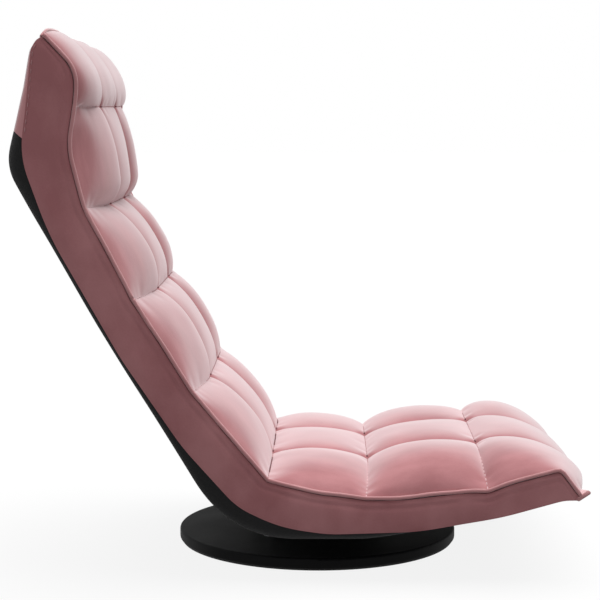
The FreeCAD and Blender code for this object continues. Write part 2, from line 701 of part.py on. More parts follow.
class Hinge:
    """One ratchet hinge, drawn on the sitter's left."""

    def __init__(self, axis, fixed_end, moving_end, moving_bearing, tip_radius, pitch):
        self.axis = axis
        self.fixed_end = fixed_end
        self.moving_end = moving_end
        self.tip_radius = tip_radius
        self.root_radius = tip_radius - TOOTH_DEPTH
        self.pitch = pitch
        self.tip_bearing = moving_bearing + PAWL_TIP_TURN
        tip = polar(axis, self.root_radius, self.tip_bearing)
        self.pawl_pin = polar(tip, PAWL_ARM, self.tip_bearing - 90.0)
        self.moving_bearing = moving_bearing

    def toothed_plate(self):
        corners = []
        for k in range(round(360.0 / self.pitch)):
            bearing = self.tip_bearing + k * self.pitch
            corners.append(polar(self.axis, self.root_radius, bearing))
            corners.append(polar(self.axis, self.tip_radius, bearing))
        wheel = prism(polygon(corners), *FIXED_Y)
        arm = stadium(self.axis, self.fixed_end, ARM_RADIUS, *FIXED_Y)
        return wheel.fuse(arm).removeSplitter().cut(across(self.axis, RIVET_DIAMETER / 2, *FIXED_Y))

    def moving_plate(self):
        arm = stadium(self.axis, self.moving_end, ARM_RADIUS, *MOVING_Y)
        boss = stadium(self.axis, self.pawl_pin, PAWL_EYE_RADIUS, *MOVING_Y)
        holes = across(self.axis, RIVET_DIAMETER / 2 + PIN_CLEARANCE, *MOVING_Y)
        pin_hole = across(self.pawl_pin, PAWL_PIN_DIAMETER / 2, *MOVING_Y)
        return arm.fuse(boss).removeSplitter().cut(holes.fuse(pin_hole))

    def rivet(self):
        head = RIVET_HEAD_DIAMETER / 2
        shank = across(self.axis, RIVET_DIAMETER / 2, FIXED_Y[0], MOVING_Y[1] + PLATE_GAP)
        inner = across(self.axis, head, FIXED_Y[0] - RIVET_HEAD, FIXED_Y[0])
        outer = across(self.axis, head, MOVING_Y[1] + PLATE_GAP, MOVING_Y[1] + PLATE_GAP + RIVET_HEAD)
        return shank.fuse(inner).fuse(outer).removeSplitter()

    def pawl_y(self):
        middle = (FIXED_Y[0] + FIXED_Y[1]) / 2
        return (middle - PAWL_THICKNESS / 2, middle + PAWL_THICKNESS / 2)

    def pawl(self):
        y = self.pawl_y()
        out, back = self.tip_bearing, self.tip_bearing - 90.0
        step = math.radians(self.pitch)
        slope_top = self.tip_radius * math.cos(step)
        slope_run = self.tip_radius * math.sin(step)
        nose = polar(polar(self.axis, self.root_radius + 2 * PAWL_CLEARANCE, out), PAWL_CLEARANCE, back)
        face = polar(polar(self.axis, self.tip_radius + PAWL_EYE_RADIUS / 2, out), PAWL_CLEARANCE, back)
        heel = polar(polar(self.axis, slope_top + 3 * PAWL_CLEARANCE, out), slope_run, back)
        neck_out = polar(self.pawl_pin, PAWL_EYE_RADIUS / 2, out)
        neck_in = polar(self.pawl_pin, -PAWL_EYE_RADIUS / 2, out)
        body = prism(polygon([nose, face, neck_out, neck_in, heel]), *y)
        eye = across(self.pawl_pin, PAWL_EYE_RADIUS, *y)
        wheel_room = across(self.axis, self.tip_radius + PAWL_CLEARANCE, *y)
        tooth = prism(polygon([nose, face, heel]), *y)
        lever = body.fuse(eye).cut(wheel_room).fuse(tooth).removeSplitter()
        return lever.cut(across(self.pawl_pin, PAWL_PIN_DIAMETER / 2 + PIN_CLEARANCE, *y))

    def pawl_pin_piece(self):
        low = self.pawl_y()[0] - PLATE_GAP
        shank = across(self.pawl_pin, PAWL_PIN_DIAMETER / 2, low, MOVING_Y[1])
        head = across(self.pawl_pin, PAWL_PIN_HEAD_RADIUS, low - RIVET_HEAD / 2, low)
        return shank.fuse(head).removeSplitter()

    def spring(self):
        """A flat leaf held by a stud on the moving plate, resting on the pawl's back."""
        middle = sum(self.pawl_y()) / 2
        y = (middle - SPRING_WIDTH / 2, middle + SPRING_WIDTH / 2)
        length = math.hypot(self.moving_end[0] - self.axis[0], self.moving_end[1] - self.axis[1])
        stud = between(self.axis, self.moving_end, SPRING_ANCHOR / length)
        pawl_back = self.tip_radius + PAWL_EYE_RADIUS / 2 + SPRING_LEAF + SPRING_CLEARANCE
        rest = polar(polar(self.axis, pawl_back, self.tip_bearing), SPRING_REST, self.tip_bearing - 90.0)
        leaf_bearing = math.degrees(math.atan2(rest[1] - stud[1], rest[0] - stud[0]))
        half = SPRING_LEAF / 2
        corners = [
            polar(stud, half, leaf_bearing + 90.0),
            polar(stud, half, leaf_bearing - 90.0),
            polar(rest, half, leaf_bearing - 90.0),
            polar(rest, half, leaf_bearing + 90.0),
        ]
        leaf = prism(polygon(corners), *y)
        return leaf.fuse(across(stud, SPRING_ANCHOR_RADIUS, y[0], MOVING_Y[0])).removeSplitter()


WAIST_HINGE = Hinge(
    WAIST_AXIS,
    SEAT.at(ARM_REACH, TUBE_DEPTH),
    BACK.at(ARM_REACH, TUBE_DEPTH),
    BACK_BEARING,
    WAIST_WHEEL_TIP,
    RECLINE_POSITIONS_PITCH,
)
NECK_HINGE = Hinge(
    NECK_AXIS,
    BACK.at(BACK_LENGTH - ARM_REACH, TUBE_DEPTH),
    HEAD.at(HEAD_ARM_REACH, TUBE_DEPTH),
    HEAD_BEARING,
    NECK_WHEEL_TIP,
    HEAD_POSITIONS_PITCH,
)


# Swivel base

BASE_TOP = FLOOR_PAD + BASE_THICKNESS
LOWER_PLATE_TOP = BASE_TOP + SWIVEL_PLATE_THICKNESS
BALL_HEIGHT = LOWER_PLATE_TOP + RACE_FLOOR + BALL_CLEARANCE + BALL_DIAMETER / 2
UPPER_PLATE_LOW = 2 * BALL_HEIGHT - LOWER_PLATE_TOP
UPPER_PLATE_TOP = UPPER_PLATE_LOW + SWIVEL_PLATE_THICKNESS
RISER_TOP = SEAT_UNDERSIDE
MOUNT_PLATE_TOP = RISER_TOP + MOUNT_PLATE_THICKNESS


def square_plate(side, corner, z_low, z_high):
    half = side / 2
    block = Part.makeBox(side, side, z_high - z_low, Vector(-half, -half, z_low))
    uprights = [e for e in block.Edges if e.BoundBox.ZLength > (z_high - z_low) / 2]
    return block.makeFillet(corner, uprights)


def four_places(spacing):
    half = spacing / 2
    return [Vector(x, y, 0) for x in (-half, half) for y in (-half, half)]


def at_four(shape, spacing):
    copies = []
    for place_at in four_places(spacing):
        copy = shape.copy()
        copy.translate(place_at)
        copies.append(copy)
    return Part.Compound(copies)


def race(z_low, z_high):
    """One raceway ring with its round groove."""
    outer = disc(BALL_CIRCLE + RACE_WIDTH, z_low, z_high)
    inner = disc(BALL_CIRCLE - RACE_WIDTH, z_low, z_high)
    groove = Part.makeTorus(BALL_CIRCLE / 2, BALL_DIAMETER / 2 + BALL_CLEARANCE, Vector(0, 0, BALL_HEIGHT))
    return outer.cut(inner).cut(groove)


def ball_places():
    return [polar((0, 0), BALL_CIRCLE / 2, 360.0 * k / BALL_COUNT) for k in range(BALL_COUNT)]


def hexagon_nut(flats, bore, z_low, z_high):
    reach = flats / 2 / math.cos(math.radians(30.0))
    corners = [polar((0, 0), reach, 60.0 * k) for k in range(7)]
    outline = Part.makePolygon([Vector(x, y, z_low) for x, y in corners])
    return Part.Face(outline).extrude(Vector(0, 0, z_high - z_low)).cut(disc(bore, z_low, z_high))


def swivel_pieces():
    pieces = {}
    pivot_shank_top = UPPER_PLATE_TOP + PIVOT_CLEARANCE + PIVOT_WASHER + PIVOT_NUT + PIVOT_THREAD_SHOWING
    pivot_foot = Vector(0, 0, FLOOR_PAD)
    pivot_head = Part.makeCone(PIVOT_HEAD_DIAMETER / 2, PIVOT_DIAMETER / 2, PIVOT_HEAD, pivot_foot)
    pivot = pivot_head.fuse(disc(PIVOT_DIAMETER, FLOOR_PAD + PIVOT_HEAD, pivot_shank_top)).removeSplitter()
    screw_head = disc(SCREW_HEAD_DIAMETER, LOWER_PLATE_TOP, LOWER_PLATE_TOP + SCREW_HEAD)
    screw = screw_head.fuse(disc(SCREW_DIAMETER, LOWER_PLATE_TOP - SCREW_DEPTH, LOWER_PLATE_TOP))
    screws = at_four(screw.removeSplitter(), PLATE_SCREW_SPACING)

    pieces["floor_pad"] = disc(FLOOR_PAD_DIAMETER, 0.0, FLOOR_PAD)
    base = disc(BASE_DIAMETER, FLOOR_PAD, BASE_TOP)
    rims = [e for e in base.Edges if e.Length > BASE_DIAMETER and e.BoundBox.ZLength < 0.1]
    base = base.makeFillet(BASE_EDGE_RADIUS, rims)
    pieces["base_disc"] = base.cut(pivot).cut(screws)
    pieces["pivot_bolt"] = pivot
    pieces["base_screws"] = screws

    lower = square_plate(SWIVEL_PLATE, SWIVEL_PLATE_CORNER, BASE_TOP, LOWER_PLATE_TOP)
    lower = lower.fuse(race(LOWER_PLATE_TOP, LOWER_PLATE_TOP + RACE_HEIGHT)).removeSplitter()
    pieces["swivel_lower_plate"] = lower.cut(pivot).cut(screws)

    cage_low = BALL_HEIGHT - CAGE_HEIGHT / 2
    cage_high = BALL_HEIGHT + CAGE_HEIGHT / 2
    cage_hole = disc(BALL_CIRCLE - CAGE_WIDTH, cage_low, cage_high)
    cage = disc(BALL_CIRCLE + CAGE_WIDTH, cage_low, cage_high).cut(cage_hole)
    pocket_radius = BALL_DIAMETER / 2 + CAGE_CLEARANCE
    pockets = [
        Part.makeCylinder(pocket_radius, CAGE_HEIGHT, Vector(x, y, cage_low)) for x, y in ball_places()
    ]
    pieces["ball_cage"] = cage.cut(pockets)
    balls = [Part.makeSphere(BALL_DIAMETER / 2, Vector(x, y, BALL_HEIGHT)) for x, y in ball_places()]
    pieces["bearing_balls"] = Part.Compound(balls)

    bolt_low = UPPER_PLATE_LOW - SCREW_HEAD
    bolt_top = UPPER_PLATE_TOP + RISER_WALL + MOUNT_NUT
    bolt_shank = disc(SCREW_DIAMETER, UPPER_PLATE_LOW, bolt_top)
    bolt = disc(SCREW_HEAD_DIAMETER, bolt_low, UPPER_PLATE_LOW).fuse(bolt_shank)
    nut = hexagon_nut(RISER_NUT_FLATS, SCREW_DIAMETER, UPPER_PLATE_TOP + RISER_WALL, bolt_top)
    flange_bolts = at_four(bolt.fuse(nut).removeSplitter(), PLATE_SCREW_SPACING)
    upper = square_plate(SWIVEL_PLATE, SWIVEL_PLATE_CORNER, UPPER_PLATE_LOW, UPPER_PLATE_TOP)
    upper = upper.fuse(race(UPPER_PLATE_LOW - RACE_HEIGHT, UPPER_PLATE_LOW)).removeSplitter()
    upper = upper.cut(disc(PIVOT_DIAMETER + 2 * PIVOT_CLEARANCE, BASE_TOP, RISER_TOP))
    pieces["swivel_upper_plate"] = upper.cut(flange_bolts)
    pieces["riser_bolts"] = flange_bolts

    washer_low = UPPER_PLATE_TOP + PIVOT_CLEARANCE
    washer_top = washer_low + PIVOT_WASHER
    washer = disc(PIVOT_WASHER_DIAMETER, washer_low, washer_top)
    pieces["pivot_washer"] = washer.cut(disc(PIVOT_DIAMETER, washer_low, washer_top))
    pieces["pivot_nut"] = hexagon_nut(PIVOT_NUT_FLATS, PIVOT_DIAMETER, washer_top, washer_top + PIVOT_NUT)

    head = disc(MOUNT_BOLT_HEAD_DIAMETER, MOUNT_PLATE_TOP, MOUNT_PLATE_TOP + MOUNT_BOLT_HEAD)
    under = RISER_TOP - RISER_WALL
    shank = disc(MOUNT_BOLT_DIAMETER, under - MOUNT_NUT, MOUNT_PLATE_TOP)
    nut = hexagon_nut(MOUNT_NUT_FLATS, MOUNT_BOLT_DIAMETER, under - MOUNT_NUT, under)
    mount_bolts = at_four(head.fuse(shank).fuse(nut).removeSplitter(), MOUNT_BOLT_SPACING)
    pieces["swivel_riser"] = riser().cut(flange_bolts).cut(mount_bolts)
    mount_plate = square_plate(MOUNT_PLATE, SWIVEL_PLATE_CORNER, RISER_TOP, MOUNT_PLATE_TOP)
    pieces["seat_mount_plate"] = mount_plate.cut(mount_bolts)
    pieces["mount_bolts"] = mount_bolts
    return pieces


def riser():
    """A pressed steel cone between the bearing and the seat frame's mounting plate."""
    foot, neck, top = RISER_FOOT_DIAMETER / 2, RISER_NECK_DIAMETER / 2, RISER_TOP_DIAMETER / 2
    low, high, wall = UPPER_PLATE_TOP, RISER_TOP, RISER_WALL
    corners = [
        (foot, low),
        (foot, low + wall),
        (neck, low + wall),
        (top, high),
        (RISER_HOLE_DIAMETER / 2, high),
        (RISER_HOLE_DIAMETER / 2, high - wall),
        (top - wall, high - wall),
        (neck - wall, low),
    ]
    face = Part.Face(Part.Wire(polygon(corners)))
    return face.revolve(Vector(0, 0, 0), Vector(0, 0, 1), 360)


# The whole chair


def head_slice(s_low, s_high):
    """Everything between two places along the head."""
    corners = ((s_low, -FAR), (s_low, FAR), (s_high, FAR), (s_high, -FAR))
    return prism(polygon([HEAD.at(s, n) for s, n in corners]), -WIDTH, WIDTH)


def soft_pieces():
    pad = stretches(quilted_pad())
    panels = stretches(side_panels())
    piping = stretches(piped_edges())
    cover = stretches(under_cover())
    hole = MOUNT_PLATE + 2 * COVER_HOLE_MARGIN
    plate_hole = square_plate(hole, SWIVEL_PLATE_CORNER, RISER_TOP - COVER, RISER_TOP + 2 * COVER)
    hem = head_slice(-FAR, REAR_PANEL_START)
    hem_and_seam = head_slice(-FAR, REAR_PANEL_START + SOFT_GAP)
    return {
        "seat_cushion": pad["seat"],
        "seat_side_panels": panels["seat"],
        "seat_piping": piping["seat"],
        "seat_bottom_cover": cover["seat"].cut(plate_hole),
        "waist_bend_padding": Part.Compound([pad["waist"], panels["waist"], piping["waist"]]),
        "waist_bend_cover": cover["waist"],
        "back_cushion": pad["back"],
        "back_side_panels": panels["back"],
        "back_piping": piping["back"],
        "back_cover": cover["back"],
        "neck_bend_padding": Part.Compound([pad["neck"], panels["neck"], piping["neck"]]),
        "neck_bend_cover": cover["neck"],
        "head_cushion": pad["head"],
        "head_side_panels": panels["head"],
        "head_piping": piping["head"],
        "head_cover_hem": solids_of(cover["head"].common(hem)),
        "head_rear_panel": solids_of(cover["head"].cut(hem_and_seam)),
    }


def frame_pieces():
    waist_toothed, waist_moving = WAIST_HINGE.toothed_plate(), WAIST_HINGE.moving_plate()
    neck_toothed, neck_moving = NECK_HINGE.toothed_plate(), NECK_HINGE.moving_plate()
    seat_tube = tube(seat_tube_points(), SEAT_TUBE_RADII)
    head_tube = tube(head_tube_points(), HEAD_TUBE_RADII)
    back_tube = tube(back_tube_ends(TUBE_Y), [])
    seat_solid = full_tubes(seat_tube_points(), SEAT_TUBE_RADII)
    back_solid = both_sides(rod(*back_tube_ends(TUBE_Y), TUBE_DIAMETER))
    plates = both_sides(waist_toothed)
    seat_cross = [(k * SEAT_CROSS_SPREAD / 2, SEAT_UNDERSIDE + TUBE_DEPTH) for k in (-1, 1)]
    seat_bars = Part.Compound([cross_tube(c, TUBE_DIAMETER, seat_solid) for c in seat_cross])
    back_cross = [BACK.at(s, TUBE_DEPTH) for s in BACK_CROSS_PLACES]
    return {
        "seat_frame_tube": seat_tube.cut(plates),
        "seat_cross_tubes": seat_bars.cut(plates),
        "back_side_tubes": both_sides(back_tube.cut(waist_moving).cut(neck_toothed)),
        "back_cross_tubes": Part.Compound([cross_tube(c, CROSS_DIAMETER, back_solid) for c in back_cross]),
        "head_frame_tube": head_tube.cut(both_sides(neck_moving)),
        "waist_ratchet_plates": both_sides(waist_toothed),
        "waist_pivot_plates": both_sides(waist_moving),
        "waist_rivets": both_sides(WAIST_HINGE.rivet()),
        "waist_pawls": both_sides(WAIST_HINGE.pawl()),
        "waist_pawl_pins": both_sides(WAIST_HINGE.pawl_pin_piece()),
        "waist_pawl_springs": both_sides(WAIST_HINGE.spring()),
        "neck_ratchet_plates": both_sides(neck_toothed),
        "neck_pivot_plates": both_sides(neck_moving),
        "neck_rivets": both_sides(NECK_HINGE.rivet()),
        "neck_pawls": both_sides(NECK_HINGE.pawl()),
        "neck_pawl_pins": both_sides(NECK_HINGE.pawl_pin_piece()),
        "neck_pawl_springs": both_sides(NECK_HINGE.spring()),
    }


pieces = {}
pieces.update(swivel_pieces())
pieces.update(frame_pieces())
pieces.update(soft_pieces())
os.makedirs("parts", exist_ok=True)
for name, shape in pieces.items():
    shape.exportStep("parts/" + name + ".step")
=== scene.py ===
import json
import math
import bmesh
import bpy
import numpy as np
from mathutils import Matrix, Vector, noise


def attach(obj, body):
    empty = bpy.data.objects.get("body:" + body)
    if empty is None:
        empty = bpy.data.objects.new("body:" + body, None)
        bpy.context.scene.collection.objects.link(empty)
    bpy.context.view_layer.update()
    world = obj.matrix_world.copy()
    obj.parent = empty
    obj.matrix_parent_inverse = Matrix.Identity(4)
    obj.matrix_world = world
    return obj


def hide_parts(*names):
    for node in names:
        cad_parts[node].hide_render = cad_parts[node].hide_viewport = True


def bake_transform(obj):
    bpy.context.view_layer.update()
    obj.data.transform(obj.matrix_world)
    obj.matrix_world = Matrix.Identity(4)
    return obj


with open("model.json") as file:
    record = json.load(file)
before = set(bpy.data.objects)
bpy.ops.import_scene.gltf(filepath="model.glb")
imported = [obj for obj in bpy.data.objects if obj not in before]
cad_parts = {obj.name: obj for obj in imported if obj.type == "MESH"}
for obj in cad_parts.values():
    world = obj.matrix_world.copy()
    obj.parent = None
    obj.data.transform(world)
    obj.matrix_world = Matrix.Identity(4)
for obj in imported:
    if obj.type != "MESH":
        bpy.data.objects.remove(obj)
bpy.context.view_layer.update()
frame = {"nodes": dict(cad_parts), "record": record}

# Metres, and bearings in degrees. +X is the way a sitter faces, +Y is the sitter's left and +Z is up.
# The origin is on the floor under the swivel.

# Overall form, as in the frame
WIDTH = 0.520
CORNER_SETBACK = 0.111
SEAT_UNDERSIDE = 0.057
SEAT_FLAT = 0.181
SEAT_RISE_LENGTH = 0.281
SEAT_RISE = 10.5
BACK_BEARING = 120.5
HEAD_BEARING = 77.5
HEAD_LENGTH = 0.150
HEAD_AXIS_DEPTH = 0.024
HEAD_TOP_DEPTH = 0.014
HEAD_TOP_SLANT = 0.020
NECK_BEND_RADIUS = 0.060
CREASE_BEARING = 56.0
CREASE_RADIUS = 0.0485
NECK_FOLD_BEARING = 9.0

# Quilting
COLUMN_SEAM_Y = 0.084
QUILT_HALF = WIDTH / 2 - 0.0025
QUILT_THICKNESS = 0.006
QUILT_EDGE_LIFT = 0.0014
SEAM_BULGE = 0.0015
SEAM_TURN_RATE = 2.6
TUFT_DIP = 0.0060
TUFT_REACH = 0.009
FRONT_FACING = 25.0
TOP_FACING = 72.0
FULLNESS_SPREAD = 0.06
UNEVEN_DEPTH = 0.0009
UNEVEN_RATE = 22.0
SWELL_LIMIT = 0.009
SWELL_FRAMES = 24
ROW_STEPS = 26
COLUMN_STEPS = 28
STEP_GRADING = 0.135
TINY = 1e-6

# Sections of a pillow: along its row, across the middle column, and across an outer column,
# which rises to a peak and falls to the cord
ROW_ROUNDNESS = 2.2
ROW_STEEPNESS = 0.80
FRONT_SHOULDER = 0.88
HEAD_SHOULDER = 0.66
MIDDLE_ROUNDNESS = 2.3
MIDDLE_STEEPNESS = 0.62
PEAK_PLACE = 0.14
PEAK_PLACE_BOXY = 0.16
PEAK_PLACE_LIMIT = 0.46
LEFT_PEAK_SHIFT = 0.14
RISE_ROUNDNESS = 1.9
RISE_STEEPNESS = 0.78
FALL_BLUNTNESS = 1.27
FALL_BLUNTNESS_BOXY = 0.88
FALL_BOXINESS_LIMIT = 1.7
FALL_STEEPNESS = 0.85
FALL_EASE = 0.02
FALL_EASE_BOXY = 0.20

# The quilt's upper edge at the head, by column, right to left
TOP_PUFFS = {-1: 0.0075, 0: 0.0030, 1: -0.0010}
TOP_PUFF_SKEW = 1.9
TOP_PUFF_FADE = 4

# Upper edges of the sides: how the left one sags, and how each cross seam draws both down
EDGE_SAG = 0.008
EDGE_SAG_REACH = 0.38
CORNER_SAG = 0.004
CORNER_SAG_PLACE = 0.045
CORNER_SAG_REACH = 0.022
WAIST_SAG_REACH = 0.030
SEAM_PULL_REACH = 0.018
SEAM_PULL_POWER = 1.5
FRONT_SLANT = np.array([-0.013, -0.013])
FRONT_SLANT_REACH = 0.060

# Side borders: their cloth, the puckers under the cord, and the sewn flange with the groove below it
BORDER_HALF = WIDTH / 2 - 0.0010
BORDER_THICKNESS = 0.0025
BORDER_LINES = 27
BORDER_LINE_GRADING = 1.5
BORDER_FADE_HEIGHT = 0.03
BORDER_BULGE = 0.0022
DRAPE_DEPTH = 0.0042
DRAPE_RATE = 14.0
PUCKER_DEPTH = 0.0005
PUCKER_PITCH = 0.0085
PUCKER_REACH = 0.012
FLANGE_STEP = 0.0011
FLANGE_DOWN, FLANGE_REACH = 0.0045, 0.0035
GROOVE_DOWN, GROOVE_REACH = 0.0105, 0.0026

# Welt cords and the front hem
CORD_RADIUS = 0.0025
CORD_UNEVEN = 0.10
CORD_LIFT = 0.0034
CORD_HALF = WIDTH / 2 - 0.0008
CORD_STEP = 0.004
CORD_WAVE = 0.0007
CORD_SWAY = 0.0010
LEFT_CORD_TUCK = 0.0025
LEFT_CORD_TUCK_SHARE = 0.02
LEFT_CORD_END = 0.9965
TOP_CORD_RADIUS = 0.0022
TOP_CORD_RISES = (0.0013, 0.0004, -0.0016, -0.0026)
TOP_CORD_INSET = 0.0012
TOP_CORD_TUCK = 0.0030
TOP_CORD_TUCK_REACH = 0.020
HEM_THICKNESS = 0.0050
HEM_HALF = WIDTH / 2 + 0.0015
HEM_TUCK = 0.65
HEM_TUCK_REACH = 0.030
HEM_SWAY = 0.0009
HEM_LINES = 130
HEM_ARC_POINTS = 7

# Covers behind and below, which bend a little more gently at the waist than the solids
WAIST_BEND_RADIUS = 0.158
NECK_CORNER_INSET = 0.0005
COVER_CORNER = 0.020
COVER_FRONT_CORNER = 0.050
COVER_CORNER_LINES = 10
COVER_FLAT_LINES = 24
COVER_THICKNESS = 0.002
COVER_TUCK = 0.003
COVER_SLACK = 0.001
COVER_UNEVEN = 0.0012
COVER_UNEVEN_RATE = 9.0
REAR_PANEL_START = 0.024

# Thread
STITCH_LENGTH = 0.0060
STITCH_GAP = 0.0045
STITCH_RADIUS = 0.00065
STITCH_SIDES = 6
OUTER_STITCH_Y = 0.150
TACK_LENGTH = 0.0110
TACK_RADIUS = 0.0011
TACK_RISE = 0.0075
TOPSTITCH_INSET = 0.0028
TOPSTITCH_Y = WIDTH / 2 - 0.0003

# View and light
LENS = 105.96
SENSOR_WIDTH = 36.0
CAMERA_PLACE = (0.009, -2.470, 0.611)
CAMERA_PITCH = 0.110
CAMERA_TURN = 0.0136
SUN_FROM = (0.18, 0.30, 0.935)
SUN_SPREAD = 70.0
SUN_STRENGTH = 3.4
ROOM_LIGHT = 0.33
FLOOR_HALF = 20
FLOOR_GLOW = 0.87
FLOOR_LIT_COLOUR = (0.30, 0.30, 0.30, 1)
FLOOR_SEEN_COLOUR = (0.84, 0.84, 0.84, 1)
WHITE = (1, 1, 1, 1)

JOINTS = {j["name"]: j for j in frame["record"]["behaviour"]["joints"]}
WAIST = np.array([JOINTS["recline"]["pos_m"][0], JOINTS["recline"]["pos_m"][2]])
NECK = np.array([JOINTS["headrest_tilt"]["pos_m"][0], JOINTS["headrest_tilt"]["pos_m"][2]])


def heading(bearing):
    angle = math.radians(bearing)
    return np.array([math.cos(angle), math.sin(angle)])


class SideFrame:
    """A straight frame of reference in the side view: s along the cover, n towards the sitter."""

    def __init__(self, origin, bearing, sitter_side):
        self.origin = np.array(origin)
        self.along = heading(bearing)
        self.normal = sitter_side * np.array([-self.along[1], self.along[0]])

    def at(self, s, n):
        return self.origin + s * self.along + n * self.normal


WAIST_CORNER = np.array([-CORNER_SETBACK, SEAT_UNDERSIDE])
AXIS_RISE = WAIST[1] - SEAT_UNDERSIDE
SEAT = SideFrame((WAIST[0], SEAT_UNDERSIDE), 0.0, 1)
RISE = SideFrame((SEAT_FLAT - CORNER_SETBACK, SEAT_UNDERSIDE), SEAT_RISE, 1)
BACK = SideFrame(WAIST + AXIS_RISE * heading(BACK_BEARING + 90.0), BACK_BEARING, -1)
HEAD = SideFrame(NECK + HEAD_AXIS_DEPTH * heading(HEAD_BEARING + 90.0), HEAD_BEARING, -1)
CREASE = WAIST + CREASE_RADIUS * heading(CREASE_BEARING)
HEAD_APEX = HEAD.at(HEAD_LENGTH, HEAD_TOP_DEPTH)


class SideLine:
    """A smooth line in the side view, read by its share of length."""

    def __init__(self, points, radii):
        self.points = rounded(points, radii)
        steps = np.linalg.norm(np.diff(self.points, axis=0), axis=1)
        self.length = np.concatenate([[0.0], np.cumsum(steps)])
        self.total = self.length[-1]

    def at(self, share):
        along = np.clip(share, 0.0, 1.0) * self.total
        return np.stack([np.interp(along, self.length, self.points[:, k]) for k in (0, 1)], axis=-1)

    def share_near(self, point):
        fine = np.linspace(0.0, 1.0, 2001)
        return fine[np.argmin(np.linalg.norm(self.at(fine) - np.asarray(point), axis=1))]

    def sagged(self, share, side, lift):
        """A point of the upper edge on one side: the left edge lies a little lower along the seat."""
        left = max(0.0, side)
        run = share * self.total
        past_waist = (share - WAIST_SHARE) * self.total
        ahead = min(1.0, run / FRONT_SLANT_REACH)
        sag = left * EDGE_SAG * math.exp(-(max(0.0, past_waist) / EDGE_SAG_REACH) ** 2) * ahead
        sag += left * CORNER_SAG * math.exp(-((run - CORNER_SAG_PLACE) / CORNER_SAG_REACH) ** 2)
        sag += left * EDGE_SAG * math.exp(-(past_waist / WAIST_SAG_REACH) ** 2)
        for seam, pull in zip(SEAM_SHARES, SEAM_PULLS):
            away = abs((share - seam) * self.total / SEAM_PULL_REACH)
            sag += pull * math.exp(-away ** SEAM_PULL_POWER)
        return self.lifted(np.array([share]), lift - sag)[0] + left * (1.0 - ahead) * FRONT_SLANT

    def lifted(self, share, lift, step=0.0025):
        """A point of the line, moved towards the sitter."""
        tangent = self.at(share + step) - self.at(share - step)
        tangent /= np.linalg.norm(tangent, axis=-1, keepdims=True)
        return self.at(share) + lift * np.stack([tangent[..., 1], -tangent[..., 0]], axis=-1)


def rounded(points, radii, arc_steps=14, room_share=0.48):
    """Straight runs joined by smooth bends, as many short steps."""
    line = [np.asarray(points[0])]
    for before, corner, after, radius in zip(points, points[1:], points[2:], radii):
        to_before = (before - corner) / np.linalg.norm(before - corner)
        to_after = (after - corner) / np.linalg.norm(after - corner)
        half_turn = (math.pi - math.acos(np.clip(to_before @ to_after, -1, 1))) / 2
        room = room_share * min(np.linalg.norm(before - corner), np.linalg.norm(after - corner))
        trim = min(radius * math.tan(half_turn), room)
        start, end = corner + to_before * trim, corner + to_after * trim
        for t in np.linspace(0.0, 1.0, arc_steps):
            line.append((1 - t) ** 2 * start + 2 * t * (1 - t) * corner + t ** 2 * end)
    line.append(np.asarray(points[-1]))
    return np.array(line)


def meeting(one, other):
    """Where the outer faces of two frames would meet in a sharp corner."""
    cross = one.along[0] * other.along[1] - one.along[1] * other.along[0]
    gap = other.origin - one.origin
    return one.at((gap[0] * other.along[1] - gap[1] * other.along[0]) / cross, 0.0)


NECK_CORNER = meeting(BACK, HEAD) + NECK_CORNER_INSET * heading(NECK_FOLD_BEARING)
FRONT_CORD = RISE.at(SEAT_RISE_LENGTH - 0.029, 0.045)
SEAT_CORD = SEAT.at(0.086, 0.060)
WAIST_CORD = CREASE - 0.006 * heading(CREASE_BEARING)
WAIST_FOOT = WAIST + 0.014 * heading(CREASE_BEARING + 114.0)
NECK_CORD = NECK + 0.052 * heading(NECK_FOLD_BEARING + 6.0)
NECK_FOOT = NECK + 0.007 * heading(NECK_FOLD_BEARING + 170.0)
HEAD_CORD = HEAD.at(0.118, 0.062)
HEAD_FOOT = HEAD.at(HEAD_LENGTH - 0.018, 0.004)

# The upper edge with its cord, the border's foot and the covers' outer face, from the front to the head
CORD_LINE = SideLine(
    [
        RISE.at(SEAT_RISE_LENGTH - 0.011, 0.009),
        FRONT_CORD,
        RISE.at(0.160, 0.038),
        RISE.at(0.030, 0.046),
        SEAT_CORD,
        WAIST_CORD,
        BACK.at(0.163, 0.0545),
        BACK.at(0.298, 0.0505),
        BACK.at(0.438, 0.0570),
        NECK_CORD,
        HEAD.at(0.075, 0.070),
        HEAD_CORD,
        HEAD_APEX,
    ],
    [0.006, 0.20, 0.30, 0.20, 0.006, 0.60, 0.60, 0.30, 0.10, 0.09, 0.05],
)
FOOT_LINE = SideLine(
    [
        RISE.at(SEAT_RISE_LENGTH - 0.013, 0.0045),
        RISE.at(SEAT_RISE_LENGTH - 0.030, 0.0075),
        RISE.at(0.170, 0.0),
        RISE.at(0.060, 0.001),
        SEAT.at(0.103, 0.008),
        SEAT.at(0.041, 0.017),
        WAIST_FOOT,
        BACK.at(0.111, 0.0095),
        BACK.at(0.249, 0.0008),
        BACK.at(0.429, 0.0040),
        NECK_FOOT,
        HEAD.at(0.060, 0.012),
        HEAD_FOOT,
        HEAD.at(HEAD_LENGTH - 0.006, 0.0080),
        HEAD_APEX,
    ],
    [0.10, 0.40, 0.30, 0.20, 0.20, 0.10, 0.30, 0.40, 0.40, 0.12, 0.12, 0.015, 0.010],
)
